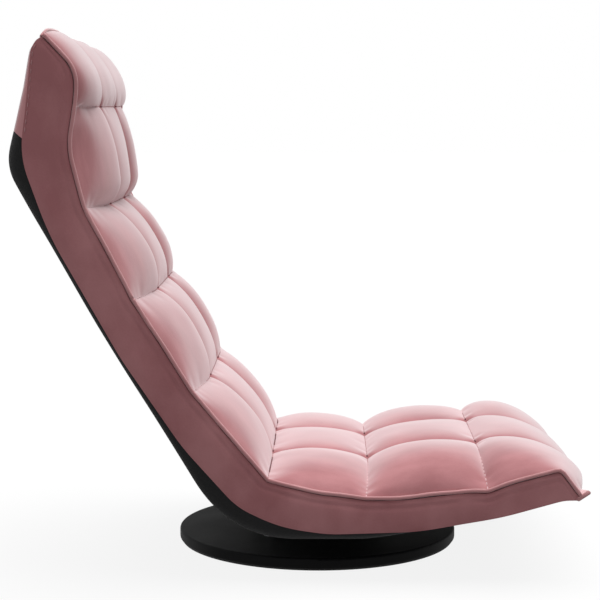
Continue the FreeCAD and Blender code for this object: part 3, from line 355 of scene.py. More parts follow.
OUTER_LINE = SideLine(
    [
        RISE.at(SEAT_RISE_LENGTH - 0.013, 0.0055),
        RISE.at(0.240, 0.0055),
        RISE.at(0.165, 0.0),
        RISE.at(0.0, 0.0),
        WAIST_CORNER,
        BACK.at(0.300, -0.0038),
        NECK_CORNER,
        HEAD.at(0.085, 0.0040),
        HEAD.at(HEAD_LENGTH - HEAD_TOP_SLANT, 0.0020),
        HEAD.at(HEAD_LENGTH - 0.007, 0.0068),
        HEAD_APEX,
    ],
    [0.20, 0.30, 0.30, WAIST_BEND_RADIUS, 2.0, NECK_BEND_RADIUS, 0.20, 0.020, 0.012],
)

WAIST_SHARE = CORD_LINE.share_near(CREASE)

# Cross seams from the front to the head: the tuft on the column seams, and where the seam meets the cord
FRONT_SEAM = RISE.at(SEAT_RISE_LENGTH + 0.012, 0.0135)
TUFTS = [
    FRONT_SEAM,
    RISE.at(0.161, 0.066),
    RISE.at(0.012, 0.072),
    CREASE - 0.001 * heading(CREASE_BEARING),
    BACK.at(0.156, 0.0635),
    BACK.at(0.295, 0.063),
    BACK.at(0.426, 0.0665),
    HEAD.at(0.075, 0.081),
    HEAD.at(HEAD_LENGTH + 0.001, HEAD_TOP_DEPTH + 0.006),
]
SEAM_ENDS = [
    CORD_LINE.points[0],
    RISE.at(0.158, 0.038),
    RISE.at(0.001, 0.048),
    WAIST_CORD,
    BACK.at(0.166, 0.0540),
    BACK.at(0.306, 0.0505),
    BACK.at(0.437, 0.057),
    HEAD.at(0.073, 0.070),
    HEAD_APEX,
]
SEAM_SHARES = [CORD_LINE.share_near(p) for p in SEAM_ENDS]
SEAM_PULLS = [0.0, 0.0045, 0.0015, 0.0, 0.0015, 0.0015, 0.0015, 0.0015, 0.0]

# Each row of pillows, from the front: its crown over the line between its tufts
ROW_CROWNS = [0.0285, 0.0192, 0.0150, 0.0178, 0.0198, 0.0208, 0.0208, 0.0205]
# The height of its column seams over that line
ROW_VALLEYS = [0.019, 0.005, 0.005, 0.005, 0.005, 0.003, 0.002, 0.0140]
# Where along the row it is highest
ROW_PEAKS = [0.50, 0.55, 0.50, 0.50, 0.50, 0.44, 0.24, 0.44]
# How boxy its outer pillows are
ROW_BOXINESS = [1.0, 1.0, 0.8, 0.3, 0.15, 0.15, 0.15, 2.0]
# How much fuller its right pillow is than its middle one, and the middle one than the left
ROW_LEANS = [-0.03, 0.13, 0.10, 0.10, 0.08, 0.05, 0.08, 0.18]
# Which of its ends, if any, falls off gently
ROW_GENTLE_ENDS = [0, None, None, None, None, None, None, 1]
HEAD_ROW = len(ROW_CROWNS) - 1

# The seam where the soft pieces are split, the seam in the waist's crease and the dark draws along it, which
# paint the crease's shade
SPLIT_SEAM = 5
CREASE_SEAM = 3
CREASE_SHADE_DRAWS = ((-0.215, -0.120), (-0.050, 0.050), (0.120, 0.215))

# The front hem's two edges
HEM_LOW = RISE.at(SEAT_RISE_LENGTH - 0.012, 0.0065)
HEM_HIGH = RISE.at(SEAT_RISE_LENGTH + 0.002, 0.0125)


def arch(t, roundness, steepness):
    """A pillow's section: nothing at both ends, one in the middle."""
    return (1.0 - np.abs(2.0 * np.clip(t, 0.0, 1.0) - 1.0) ** roundness) ** steepness


def shoulder(t, steepness):
    """The gentle side of a pillow: one at its top, t = 0, and nothing at its edge, t = 1."""
    return max(0.0, math.cos(math.pi / 2 * t)) ** steepness


def row_lift(row, along):
    """How full a row is, from one cross seam, 0, to the next, 1."""
    peak = ROW_PEAKS[row]
    end = 0 if along < peak else 1
    far = (peak - along) / peak if end == 0 else (along - peak) / (1.0 - peak)
    if end == ROW_GENTLE_ENDS[row]:
        return shoulder(far, FRONT_SHOULDER if row == 0 else HEAD_SHOULDER)
    return max(0.0, 1.0 - far ** ROW_ROUNDNESS) ** ROW_STEEPNESS


def side_column_lift(across, lift, boxiness, column):
    """An outer column's rise from its column seam, 0, and its fall to the cord, 1: steepest in mid row."""
    shift = LEFT_PEAK_SHIFT if column > 0 else 0.0
    peak = min(PEAK_PLACE_LIMIT, PEAK_PLACE + PEAK_PLACE_BOXY * boxiness + shift)
    if across < peak:
        rise = max(0.0, 1.0 - ((peak - across) / peak) ** RISE_ROUNDNESS) ** RISE_STEEPNESS
        return rise, 1.0
    out = (across - peak) / (1.0 - peak)
    bluntness = FALL_BLUNTNESS + FALL_BLUNTNESS_BOXY * min(boxiness, FALL_BOXINESS_LIMIT) * lift
    steepness = FALL_STEEPNESS - (FALL_EASE + FALL_EASE_BOXY * min(boxiness, 1.0)) * lift
    fall = max(0.0, 1.0 - out ** bluntness) ** steepness
    return fall, fall


def graded(steps):
    """Shares from 0 to 1, closer together at both ends."""
    t = np.linspace(0.0, 1.0, steps + 1)
    return t - STEP_GRADING * np.sin(2.0 * math.pi * t)


def row_normals():
    """The way each row of pillows faces, and each cross seam."""
    rows = []
    for a, b in zip(TUFTS, TUFTS[1:]):
        run = (b - a) / np.linalg.norm(b - a)
        rows.append(np.array([run[1], -run[0]]))
    seams = [heading(FRONT_FACING)]
    for a, b in zip(rows, rows[1:]):
        seams.append((a + b) / np.linalg.norm(a + b))
    seams.append(heading(TOP_FACING))
    return rows, seams


ROW_NORMALS, SEAM_NORMALS = row_normals()


def column_places():
    """Across the quilt: y, the column (-1, 0, 1) and the share of the way over it."""
    t = graded(COLUMN_STEPS)
    places = [(-QUILT_HALF + s * (QUILT_HALF - COLUMN_SEAM_Y), -1, 1.0 - s) for s in t]
    places += [(-COLUMN_SEAM_Y + s * 2 * COLUMN_SEAM_Y, 0, s) for s in t[1:]]
    places += [(COLUMN_SEAM_Y + s * (QUILT_HALF - COLUMN_SEAM_Y), 1, s) for s in t[1:]]
    return places


def quilt_normal(row, along):
    """The way the quilt's line of tufts faces, turning from each cross seam's facing to the row's own."""
    near_seam = row if along < 0.5 else row + 1
    from_seam = min(along, 1.0 - along)
    seam_way = SEAM_NORMALS[near_seam]
    way = seam_way + (ROW_NORMALS[row] - seam_way) * min(1.0, from_seam * SEAM_TURN_RATE)
    return way / np.linalg.norm(way)


def quilt_point(row, along, y, column, across):
    """One point of the quilted face."""
    normal = quilt_normal(row, along)
    lift = row_lift(row, along)
    run = TUFTS[row + 1] - TUFTS[row]
    valley = TUFTS[row] + run * along + normal * ROW_VALLEYS[row] * lift
    variety = FULLNESS_SPREAD * noise.noise(Vector((3.1 * row, 5.7 * column, 0.5)))
    fullness = 1.0 + variety - ROW_LEANS[row] * column
    crown = ROW_CROWNS[row] * fullness - ROW_VALLEYS[row]
    if column == 0:
        over = arch(across, MIDDLE_ROUNDNESS, MIDDLE_STEEPNESS)
        place = valley
    else:
        over, fall = side_column_lift(across, lift, ROW_BOXINESS[row], column)
        share = SEAM_SHARES[row] + (SEAM_SHARES[row + 1] - SEAM_SHARES[row]) * along
        edge = CORD_LINE.sagged(share, 0 if row == 0 else column, QUILT_EDGE_LIFT)
        place = edge + (valley - edge) * fall
    place = place + normal * (crown * lift * over + SEAM_BULGE * over * (1.0 - lift))
    from_seam = min(along, 1.0 - along) * np.linalg.norm(run)
    from_column = abs(abs(y) - COLUMN_SEAM_Y)
    dip = TUFT_DIP * math.exp(-((from_seam / TUFT_REACH) ** 2 + (from_column / TUFT_REACH) ** 2))
    spot = Vector([UNEVEN_RATE * c for c in (place[0], y, place[1])])
    uneven = UNEVEN_DEPTH * lift * noise.noise(spot)
    place = place + normal * (uneven - dip)
    if row == HEAD_ROW:
        puff = over if column == 0 else arch(across ** TOP_PUFF_SKEW, MIDDLE_ROUNDNESS, MIDDLE_STEEPNESS)
        place = place + HEAD.along * TOP_PUFFS[column] * puff * along ** TOP_PUFF_FADE
    if row == 0:
        place = place + FRONT_SLANT * (0.5 + 0.5 * y / QUILT_HALF) * (1.0 - along)
    return (place[0], y, place[1])


def new_object(name, mesh):
    """A smooth piece in the scene."""
    mesh.polygons.foreach_set("use_smooth", [True] * len(mesh.polygons))
    piece = bpy.data.objects.new(name, mesh)
    bpy.context.collection.objects.link(piece)
    return piece


def built_object(name, build):
    bmesh.ops.recalc_face_normals(build, faces=build.faces)
    mesh = bpy.data.meshes.new(name)
    build.to_mesh(mesh)
    build.free()
    return new_object(name, mesh)


def join_rings(build, rings, first_cap_way=-1):
    """A closed run of rings of points: faces between each two, and a cap at both ends.
    The first cap goes round its ring backwards, -1, or forwards, 1."""
    verts = [[build.verts.new(p) for p in ring] for ring in rings]
    for a, b in zip(verts, verts[1:]):
        for j in range(len(a)):
            k = (j + 1) % len(a)
            build.faces.new((a[j], a[k], b[k], b[j]))
    build.faces.new(verts[0][::first_cap_way])
    build.faces.new(verts[-1])


def sheet_object(name, points, flip=False):
    """A sheet of four-sided faces through rows of points."""
    points = np.asarray(points, float)
    rows, columns = points.shape[:2]
    index = np.arange(rows * columns).reshape(rows, columns)
    corners = [index[:-1, :-1], index[:-1, 1:], index[1:, 1:], index[1:, :-1]]
    faces = np.stack(corners, axis=-1).reshape(-1, 4)
    if flip:
        faces = faces[:, ::-1]
    mesh = bpy.data.meshes.new(name)
    mesh.from_pydata(points.reshape(-1, 3).tolist(), [], faces.tolist())
    return new_object(name, mesh)


def settle(piece, sharp_from=65.0):
    """Makes the modifiers' result the piece's own mesh."""
    bpy.context.view_layer.update()
    graph = bpy.context.evaluated_depsgraph_get()
    mesh = bpy.data.meshes.new_from_object(piece.evaluated_get(graph))
    mesh.name = piece.name
    piece.modifiers.clear()
    piece.data = mesh
    mesh.set_sharp_from_angle(angle=math.radians(sharp_from))
    return piece


def thicken(piece, thickness):
    """Gives a sheet its thickness, inwards, and rounds its faces."""
    finer = piece.modifiers.new("finer", "SUBSURF")
    finer.levels = finer.render_levels = 1
    finer.boundary_smooth = "PRESERVE_CORNERS"
    body = piece.modifiers.new("body", "SOLIDIFY")
    body.thickness = thickness
    body.offset = -1.0
    body.use_rim = True
    return settle(piece)


def plump(piece, held):
    """Lets the cloth swell a little between its sewn lines, so that it puckers as stuffed cloth does."""
    start = np.array([v.co for v in piece.data.vertices])
    group = piece.vertex_groups.new(name="sewn")
    for vertex in held:
        group.add([int(vertex)], 1.0, "REPLACE")
    cloth = piece.modifiers.new("cloth", "CLOTH")
    cloth.settings.quality = 6
    cloth.settings.mass = 0.25
    cloth.settings.tension_stiffness = 12.0
    cloth.settings.compression_stiffness = 12.0
    cloth.settings.shear_stiffness = 4.0
    cloth.settings.bending_stiffness = 5.0
    cloth.settings.air_damping = 3.0
    cloth.settings.use_pressure = True
    cloth.settings.uniform_pressure_force = 5.0
    cloth.settings.shrink_min = -0.003
    cloth.settings.vertex_group_mass = "sewn"
    cloth.settings.effector_weights.gravity = 0.0
    cloth.collision_settings.use_collision = False
    scene = bpy.context.scene
    for step in range(1, SWELL_FRAMES + 1):
        scene.frame_set(step)
    graph = bpy.context.evaluated_depsgraph_get()
    swollen = piece.evaluated_get(graph).to_mesh()
    moved = np.array([v.co for v in swollen.vertices]) - start
    piece.evaluated_get(graph).to_mesh_clear()
    piece.modifiers.clear()
    scene.frame_set(1)
    far = np.linalg.norm(moved, axis=1, keepdims=True)
    moved *= np.minimum(1.0, SWELL_LIMIT / np.maximum(far, TINY))
    piece.data.vertices.foreach_set("co", (start + moved).ravel())
    piece.data.update()
    piece.vertex_groups.clear()
    return piece


def quilt(name, first_row, last_row):
    """A run of quilted rows, sewn along every seam and swelling between them."""
    columns = column_places()
    lines, held = [], []
    for row in range(first_row, last_row):
        shares = graded(ROW_STEPS) if row == first_row else graded(ROW_STEPS)[1:]
        for along in shares:
            sewn_row = min(along, 1.0 - along) < TINY
            for k, (y, _, _) in enumerate(columns):
                sewn_column = abs(abs(y) - COLUMN_SEAM_Y) < TINY or k in (0, len(columns) - 1)
                if sewn_row or sewn_column:
                    held.append(len(lines) * len(columns) + k)
            lines.append([quilt_point(row, along, *place) for place in columns])
    piece = sheet_object(name, lines)
    plump(piece, held)
    return thicken(piece, QUILT_THICKNESS)


def paired(line_a, line_b, anchors, counts):
    """Matched shares of two side lines, run by run between anchor points."""
    shares_a = [line_a.share_near(a) for a, _ in anchors]
    shares_b = [line_b.share_near(b) for _, b in anchors]
    pairs = []
    for k, count in enumerate(counts):
        for t in np.linspace(0.0, 1.0, count + 1)[(1 if k else 0):]:
            a = shares_a[k] + (shares_a[k + 1] - shares_a[k]) * t
            b = shares_b[k] + (shares_b[k + 1] - shares_b[k]) * t
            pairs.append((a, b))
    return np.array(pairs)


SPLIT_CORD = SEAM_ENDS[SPLIT_SEAM]
SPLIT_FOOT = BACK.at(0.312, 0.003)
SPLIT_OUTER = BACK.at(0.312, 0.0)
LOWER_ANCHORS = [
    (CORD_LINE.points[0], FOOT_LINE.points[0]),
    (FRONT_CORD, RISE.at(SEAT_RISE_LENGTH - 0.032, 0.0)),
    (SEAT_CORD, SEAT.at(0.075, 0.012)),
    (CREASE, WAIST_FOOT),
    (SPLIT_CORD, SPLIT_FOOT),
]
UPPER_ANCHORS = [
    (SPLIT_CORD, SPLIT_FOOT),
    (NECK_CORD, NECK_FOOT),
    (HEAD_CORD, HEAD.at(HEAD_LENGTH - 0.030, 0.006)),
    (HEAD_APEX, HEAD_APEX),
]
LOWER_STEPS = (10, 60, 26, 64)
UPPER_STEPS = (56, 22, 14)


def drift(run, rate, seed):
    """A smooth random number about zero along a run. The two numbers of the seed pick which."""
    return noise.noise(Vector((run * rate, *seed)))


def border(name, side, anchors, counts):
    """One boxed side border, from the cord down to the under cover."""
    pairs = paired(CORD_LINE, FOOT_LINE, anchors, counts)
    tops = [CORD_LINE.sagged(share, side, 0.0) for share in pairs[:, 0]]
    feet = FOOT_LINE.at(pairs[:, 1])
    for k, (_, share) in enumerate(pairs):
        back = max(0.0, 1.0 - share * FOOT_LINE.total / FRONT_SLANT_REACH)
        feet[k] += max(0.0, side) * back * FRONT_SLANT
    across = np.linspace(0.0, 1.0, BORDER_LINES) ** BORDER_LINE_GRADING
    lines = []
    for top, foot, (share, _) in zip(tops, feet, pairs):
        line = []
        height = np.linalg.norm(top - foot)
        fade = min(1.0, height / BORDER_FADE_HEIGHT)
        step = FLANGE_STEP * (0.65 + 0.9 * drift(share, 30.0, (side * 5.0, 2.0))) * fade
        for t in across:
            place = top + (foot - top) * t
            down = t * height
            swell = BORDER_BULGE * arch(t, 2.0, 0.7) * fade
            spot = Vector((place[0] * DRAPE_RATE, side * 3.0, place[1] * DRAPE_RATE))
            swell += DRAPE_DEPTH * noise.noise(spot) * arch(t, 2.0, 1.0) * fade
            ripple = math.sin(share * CORD_LINE.total / PUCKER_PITCH + 2.0 * noise.noise(spot * 1.7))
            swell += PUCKER_DEPTH * ripple * math.exp(-(down / PUCKER_REACH) ** 2) * fade
            swell += step * math.exp(-((down - FLANGE_DOWN) / FLANGE_REACH) ** 2)
            swell -= step * math.exp(-((down - GROOVE_DOWN) / GROOVE_REACH) ** 2)
            line.append((place[0], side * (BORDER_HALF + swell), place[1]))
        lines.append(line)
    piece = sheet_object(name, lines, flip=side < 0)
    return thicken(piece, BORDER_THICKNESS)


def tube(name, path, radii, sides=12):
    """A round cord along a path of points, closed at both ends."""
    path = [Vector(p) for p in path]
    crosswise = abs((path[-1] - path[0]).normalized().y) > 0.7
    reference = Vector((0, 0, 1)) if crosswise else Vector((0, 1, 0))
    rings = []
    for k, point in enumerate(path):
        tangent = (path[min(k + 1, len(path) - 1)] - path[max(k - 1, 0)]).normalized()
        across = tangent.cross(reference).normalized()
        up = tangent.cross(across)
        ring = []
        for j in range(sides):
            turn = 2.0 * math.pi * j / sides
            ring.append(point + radii[k] * (math.cos(turn) * across + math.sin(turn) * up))
        rings.append(ring)
    build = bmesh.new()
    join_rings(build, rings)
    return built_object(name, build)


def side_cord(name, side, start, end):
    """Welt cord along one side border, a little wavy as a sewn cord lies."""
    shares = np.linspace(start, end, int((end - start) * CORD_LINE.total / CORD_STEP))
    past_neck = np.clip((shares - SEAM_SHARES[HEAD_ROW]) / LEFT_CORD_TUCK_SHARE, 0.0, 1.0)
    path, radii = [], []
    for share, tucked in zip(shares, past_neck):
        place = CORD_LINE.sagged(share, side, CORD_LIFT - max(0, side) * LEFT_CORD_TUCK * tucked)
        along = share * CORD_LINE.total
        wave = CORD_WAVE * drift(along, 18.0, (side * 4.0, 1.0))
        sway = CORD_SWAY * drift(along, 26.0, (side * 4.0, 7.0))
        path.append((place[0], side * (CORD_HALF + wave), place[1] + sway))
        radii.append(CORD_RADIUS * (1.0 + CORD_UNEVEN * drift(along, 60.0, (side, 3.0))))
    return tube(name, path, radii)


def front_hem(name):
    """The flat lip where the seat's top and under cover are sewn together, across the chair."""
    depth = HEM_HIGH - HEM_LOW
    way = depth / np.linalg.norm(depth)
    side = np.array([-way[1], way[0]])
    section = []
    for centre, turn in ((HEM_HIGH, 0.0), (HEM_LOW, math.pi)):
        for angle in turn + np.linspace(math.pi / 2, -math.pi / 2, HEM_ARC_POINTS):
            section.append(centre + HEM_THICKNESS / 2 * (way * math.cos(angle) + side * math.sin(angle)))
    rings = []
    for y in np.linspace(-HEM_HALF, HEM_HALF, HEM_LINES):
        sway = HEM_SWAY * drift(y, 24.0, (2.0, 0.0))
        slant = FRONT_SLANT * (0.5 + 0.5 * y / HEM_HALF)
        tuck = depth * HEM_TUCK * (1.0 - math.exp(-((HEM_HALF - abs(y)) / HEM_TUCK_REACH) ** 2))
        ring = []
        for k, p in enumerate(section):
            p = p - tuck if k < HEM_ARC_POINTS else p
            ring.append((p[0] + sway + slant[0], y, p[1] + 0.6 * sway + slant[1]))
        rings.append(ring)
    build = bmesh.new()
    join_rings(build, rings, first_cap_way=1)
    return built_object(name, build)


def quilt_top_edge():
    """The quilt's upper edge, across the head."""
    return [quilt_point(HEAD_ROW, 1.0, *place) for place in column_places()]


def head_top_cord(name):
    """Welt cord along the quilt's upper edge, from one head corner over to the other."""
    path, radii = [], []
    for x, y, z in quilt_top_edge():
        tuck = max(0.0, 1.0 - (QUILT_HALF - abs(y)) / TOP_CORD_TUCK_REACH)
        above = np.interp(y, (-QUILT_HALF, -COLUMN_SEAM_Y, 0.0, QUILT_HALF), TOP_CORD_RISES)
        rise = (above - TOP_CORD_TUCK * tuck) * HEAD.along - TOP_CORD_INSET * HEAD.normal
        path.append((x + rise[0], y, z + rise[1]))
        radii.append(TOP_CORD_RADIUS * (1.0 + CORD_UNEVEN * drift(y, 60.0, (2.0, 3.0))))
    return tube(name, path, radii)


def wrapped_cover(name, anchors, counts, first_corner=COVER_CORNER, closing_edge=None):
    """Cloth from one border's foot, round behind, to the other's, and up to any edge that closes it."""
    pairs = paired(OUTER_LINE, FOOT_LINE, anchors, counts)
    outers, feet = OUTER_LINE.at(pairs[:, 0]), FOOT_LINE.lifted(pairs[:, 1], COVER_TUCK)
    turn = np.sin(math.pi / 2 * np.linspace(1.0, 0.0, COVER_CORNER_LINES))
    flat = np.linspace(1.0, 0.0, COVER_FLAT_LINES)[1:]
    lines = []
    for k, (outer, foot, foot_share) in enumerate(zip(outers, feet, pairs[:, 1])):
        corner = first_corner + (COVER_CORNER - first_corner) * min(1.0, k / counts[0])
        back = max(0.0, 1.0 - foot_share * FOOT_LINE.total / FRONT_SLANT_REACH)
        straight = BORDER_HALF - corner
        half_ys = [straight + corner * t for t in turn] + [straight * f for f in flat]
        step = outer - foot
        out = step / max(np.linalg.norm(step), TINY)
        line = []
        for y in [-y for y in half_ys] + half_ys[::-1][1:]:
            into = max(0.0, (abs(y) - straight) / corner)
            share = math.sqrt(max(0.0, 1.0 - into ** 2))
            place = foot + step * share
            spot = Vector([COVER_UNEVEN_RATE * c for c in (place[0], y, place[1])])
            slack = COVER_SLACK * (1.0 - (y / BORDER_HALF) ** 2) + COVER_UNEVEN * noise.noise(spot) * share
            place = place + out * (slack + COVER_THICKNESS * share)
            place = place + FRONT_SLANT * (0.5 + 0.5 * y / BORDER_HALF) * back
            line.append((place[0], y, place[1]))
        lines.append(line)
    if closing_edge:
        last, edge = np.array(lines[-1]), np.array(closing_edge)
        ends = last.copy()
        for k in (0, 2):
            ends[:, k] = np.interp(last[:, 1], edge[:, 1], edge[:, k])
        for t in (0.25, 0.5, 0.75, 1.0):
            lines.append(last + (ends - last) * t)
    piece = sheet_object(name, lines, flip=True)
    return thicken(piece, COVER_THICKNESS)


OUTER_WAIST = OUTER_LINE.at(OUTER_LINE.share_near(WAIST_CORNER))
OUTER_NECK = OUTER_LINE.at(OUTER_LINE.share_near(NECK_CORNER))
REAR_PANEL_EDGE = (HEAD.at(REAR_PANEL_START + 0.003, 0.0), HEAD.at(REAR_PANEL_START - 0.005, 0.016))
COVER_LOWER_ANCHORS = [
    (OUTER_LINE.points[0], FOOT_LINE.points[0]),
    (RISE.at(0.0, 0.0), SEAT.at(0.150, 0.005)),
    (OUTER_WAIST, WAIST_FOOT),
    (SPLIT_OUTER, SPLIT_FOOT),
]
COVER_UPPER_ANCHORS = [
    (SPLIT_OUTER, SPLIT_FOOT),
    (OUTER_NECK, NECK_FOOT),
    REAR_PANEL_EDGE,
]
REAR_PANEL_ANCHORS = [
    REAR_PANEL_EDGE,
    (HEAD.at(HEAD_LENGTH - HEAD_TOP_SLANT, 0.0), HEAD_FOOT),
    (HEAD_APEX, HEAD_APEX),
]
COVER_LOWER_STEPS = (34, 34, 50)
COVER_UPPER_STEPS = (44, 10)
REAR_PANEL_STEPS = (24, 8)


def outward(normal):
    """A direction of the side view, as one in space."""
    return Vector((normal[0], 0.0, normal[1]))


def one_stitch(build, ends, up, radius):
    """One raised stitch, thinner at both ends."""
    way = (ends[1] - ends[0]).normalized()
    side = way.cross(up).normalized()
    turns = [2.0 * math.pi * j / STITCH_SIDES for j in range(STITCH_SIDES)]
    spread = [side * math.cos(turn) + up * math.sin(turn) for turn in turns]
    rings = []
    for share, size in ((0.0, 0.3), (0.2, 1.0), (0.8, 1.0), (1.0, 0.3)):
        place = ends[0].lerp(ends[1], share) + 0.9 * radius * up
        rings.append([place + radius * size * s for s in spread])
    join_rings(build, rings)


def stitch_line(build, places, up):
    """Short raised stitches along a line of points, each lying along it."""
    flat = np.array(places)
    run = np.concatenate([[0.0], np.cumsum(np.linalg.norm(np.diff(flat, axis=0), axis=1))])
    start = STITCH_GAP
    while start + STITCH_LENGTH < run[-1]:
        both = (start, start + STITCH_LENGTH)
        ends = [Vector([np.interp(e, run, flat[:, k]) for k in range(3)]) for e in both]
        one_stitch(build, ends, up.normalized(), STITCH_RADIUS)
        start += STITCH_LENGTH + STITCH_GAP


def seam_points(seam, low, high):
    """The points of a cross seam between two places across the chair."""
    places = [p for p in column_places() if low - TINY <= p[0] <= high + TINY]
    return [quilt_point(seam, 0.0, *place) for place in places]


def outer_stitches(name, seams):
    """The pale thread that shows on the cross seams near the cords."""
    build = bmesh.new()
    for seam in (s for s in seams if s != CREASE_SEAM):
        for low, high in ((-QUILT_HALF, -OUTER_STITCH_Y), (OUTER_STITCH_Y, QUILT_HALF)):
            stitch_line(build, seam_points(seam, low, high), outward(SEAM_NORMALS[seam]))
    return built_object(name, build)


def sunk_stitches(name, first_row, last_row, seams):
    """The thread drawn down into the column seams and the middle of the cross seams, in shade, which is
    painted into its darker colour.
    """
    build = bmesh.new()
    for seam in seams:
        reach = QUILT_HALF if seam == CREASE_SEAM else OUTER_STITCH_Y
        stitch_line(build, seam_points(seam, -reach, reach), outward(SEAM_NORMALS[seam]))
    for row in range(first_row, last_row):
        for column, y in ((0, -COLUMN_SEAM_Y), (1, COLUMN_SEAM_Y)):
            line = [quilt_point(row, along, y, column, 0.0) for along in graded(ROW_STEPS)]
            stitch_line(build, line, outward(ROW_NORMALS[row]))
    return built_object(name, build)


def tuft_tacks_and_crease_shade(name, seams):
    """The short, tight stitch at each tuft, and the draws in the waist's crease: dark thread that paints the
    shade in the tufts' slits and along the crease.
    """
    build = bmesh.new()
    half = Vector((0.0, 0.5 * TACK_LENGTH, 0.0))
    for seam in seams:
        up = outward(SEAM_NORMALS[seam])
        for column, y in ((0, -COLUMN_SEAM_Y), (1, COLUMN_SEAM_Y)):
            place = Vector(quilt_point(seam, 0.0, y, column, 0.0)) + TACK_RISE * up
            one_stitch(build, (place - half, place + half), up, TACK_RADIUS)
    if CREASE_SEAM in seams:
        for low, high in CREASE_SHADE_DRAWS:
            line = [Vector(p) for p in seam_points(CREASE_SEAM, low, high)]
            for ends in zip(line, line[1:]):
                one_stitch(build, ends, outward(SEAM_NORMALS[CREASE_SEAM]), TACK_RADIUS)
    return built_object(name, build)


TOPSTITCH_START = FOOT_LINE.share_near(HEAD.at(REAR_PANEL_START, 0.016))
TOPSTITCH_END = FOOT_LINE.share_near(HEAD.at(HEAD_LENGTH - 0.008, 0.010))


def rear_topstitch(name):
    """Topstitching beside the head's rear edges, on both side borders."""
    build = bmesh.new()
    line = FOOT_LINE.lifted(np.linspace(TOPSTITCH_START, TOPSTITCH_END, 60), TOPSTITCH_INSET)
    for side in (-1, 1):
        places = [(x, side * TOPSTITCH_Y, z) for x, z in line]
        stitch_line(build, places, Vector((0.0, side, 0.0)))
    return built_object(name, build)


# Materials

def nodes_of(material):
    material.use_nodes = True
    tree = material.node_tree
    tree.nodes.clear()
    return tree


def group_tree(name, inputs):
    """A shared group that turns its inputs into a colour, a roughness and a height."""
    tree = bpy.data.node_groups.new(name, "ShaderNodeTree")
    for label, value in inputs.items():
        kind = "NodeSocketColor" if isinstance(value, tuple) else "NodeSocketFloat"
        tree.interface.new_socket(name=label, in_out="INPUT", socket_type=kind).default_value = value
    for label, kind in (("Colour", "Color"), ("Roughness", "Float"), ("Height", "Float")):
        tree.interface.new_socket(name=label, in_out="OUTPUT", socket_type="NodeSocket" + kind)
    return tree, tree.nodes.new("NodeGroupInput"), tree.nodes.new("NodeGroupOutput")


def add(tree, kind, **settings):
    node = tree.nodes.new(kind)
    for key, value in settings.items():
        setattr(node, key, value)
    return node


def feed(tree, socket, value):
    """Sets a socket to a plain value, or links another node's output to it."""
    if isinstance(value, (int, float, tuple)):
        socket.default_value = value
    else:
        tree.links.new(value, socket)


def math_node(tree, operation, *values):
    node = add(tree, "ShaderNodeMath", operation=operation)
    for socket, value in zip(node.inputs, values):
        feed(tree, socket, value)
    return node.outputs[0]


def blend_colour(tree, share, a, b):
    node = add(tree, "ShaderNodeMix", data_type="RGBA")
    for socket, value in ((node.inputs["Factor"], share), (node.inputs[6], a), (node.inputs[7], b)):
        feed(tree, socket, value)
    return node.outputs[2]


def noise_value(tree, coordinates, scale, detail, stretch=None):
    texture = add(tree, "ShaderNodeTexNoise")
    texture.inputs["Detail"].default_value = detail
    feed(tree, texture.inputs["Scale"], scale)
    if stretch:
        mapping = add(tree, "ShaderNodeMapping")
        mapping.inputs["Scale"].default_value = stretch
        tree.links.new(coordinates, mapping.inputs["Vector"])
        coordinates = mapping.outputs[0]
    tree.links.new(coordinates, texture.inputs["Vector"])
    return texture.outputs["Fac"]


def velvet_nap_group():
    """Brushed pile: soft lighter and darker strokes, fine tufts, and their height."""
    tree, given, result = group_tree("velvet nap", {
        "Pile Colour": (0.4, 0.2, 0.2, 1),
        "Brushed Colour": (0.5, 0.3, 0.3, 1),
        "Stroke Scale": 16.0,
        "Pile Scale": 1500.0,
    })
    place = add(tree, "ShaderNodeTexCoord").outputs["Object"]
    strokes = noise_value(tree, place, given.outputs["Stroke Scale"], 3.0, (1.0, 1.6, 0.7))
    pile = noise_value(tree, place, given.outputs["Pile Scale"], 2.0)
    specks = noise_value(tree, place, 420.0, 2.0)
    fleck = math_node(tree, "MULTIPLY", math_node(tree, "SUBTRACT", specks, 0.5), 0.35)
    share = math_node(tree, "ADD", math_node(tree, "MULTIPLY_ADD", strokes, 3.0, -1.05), fleck)
    clamp = add(tree, "ShaderNodeClamp")
    tree.links.new(share, clamp.inputs[0])
    pile_colour, brushed_colour = given.outputs["Pile Colour"], given.outputs["Brushed Colour"]
    colour = blend_colour(tree, clamp.outputs[0], pile_colour, brushed_colour)
    tree.links.new(colour, result.inputs["Colour"])
    tree.links.new(math_node(tree, "MULTIPLY_ADD", strokes, 0.16, 0.74), result.inputs["Roughness"])
    fine = math_node(tree, "MULTIPLY", pile, 0.4)
    tree.links.new(math_node(tree, "MULTIPLY_ADD", specks, 0.6, fine), result.inputs["Height"])
    return tree


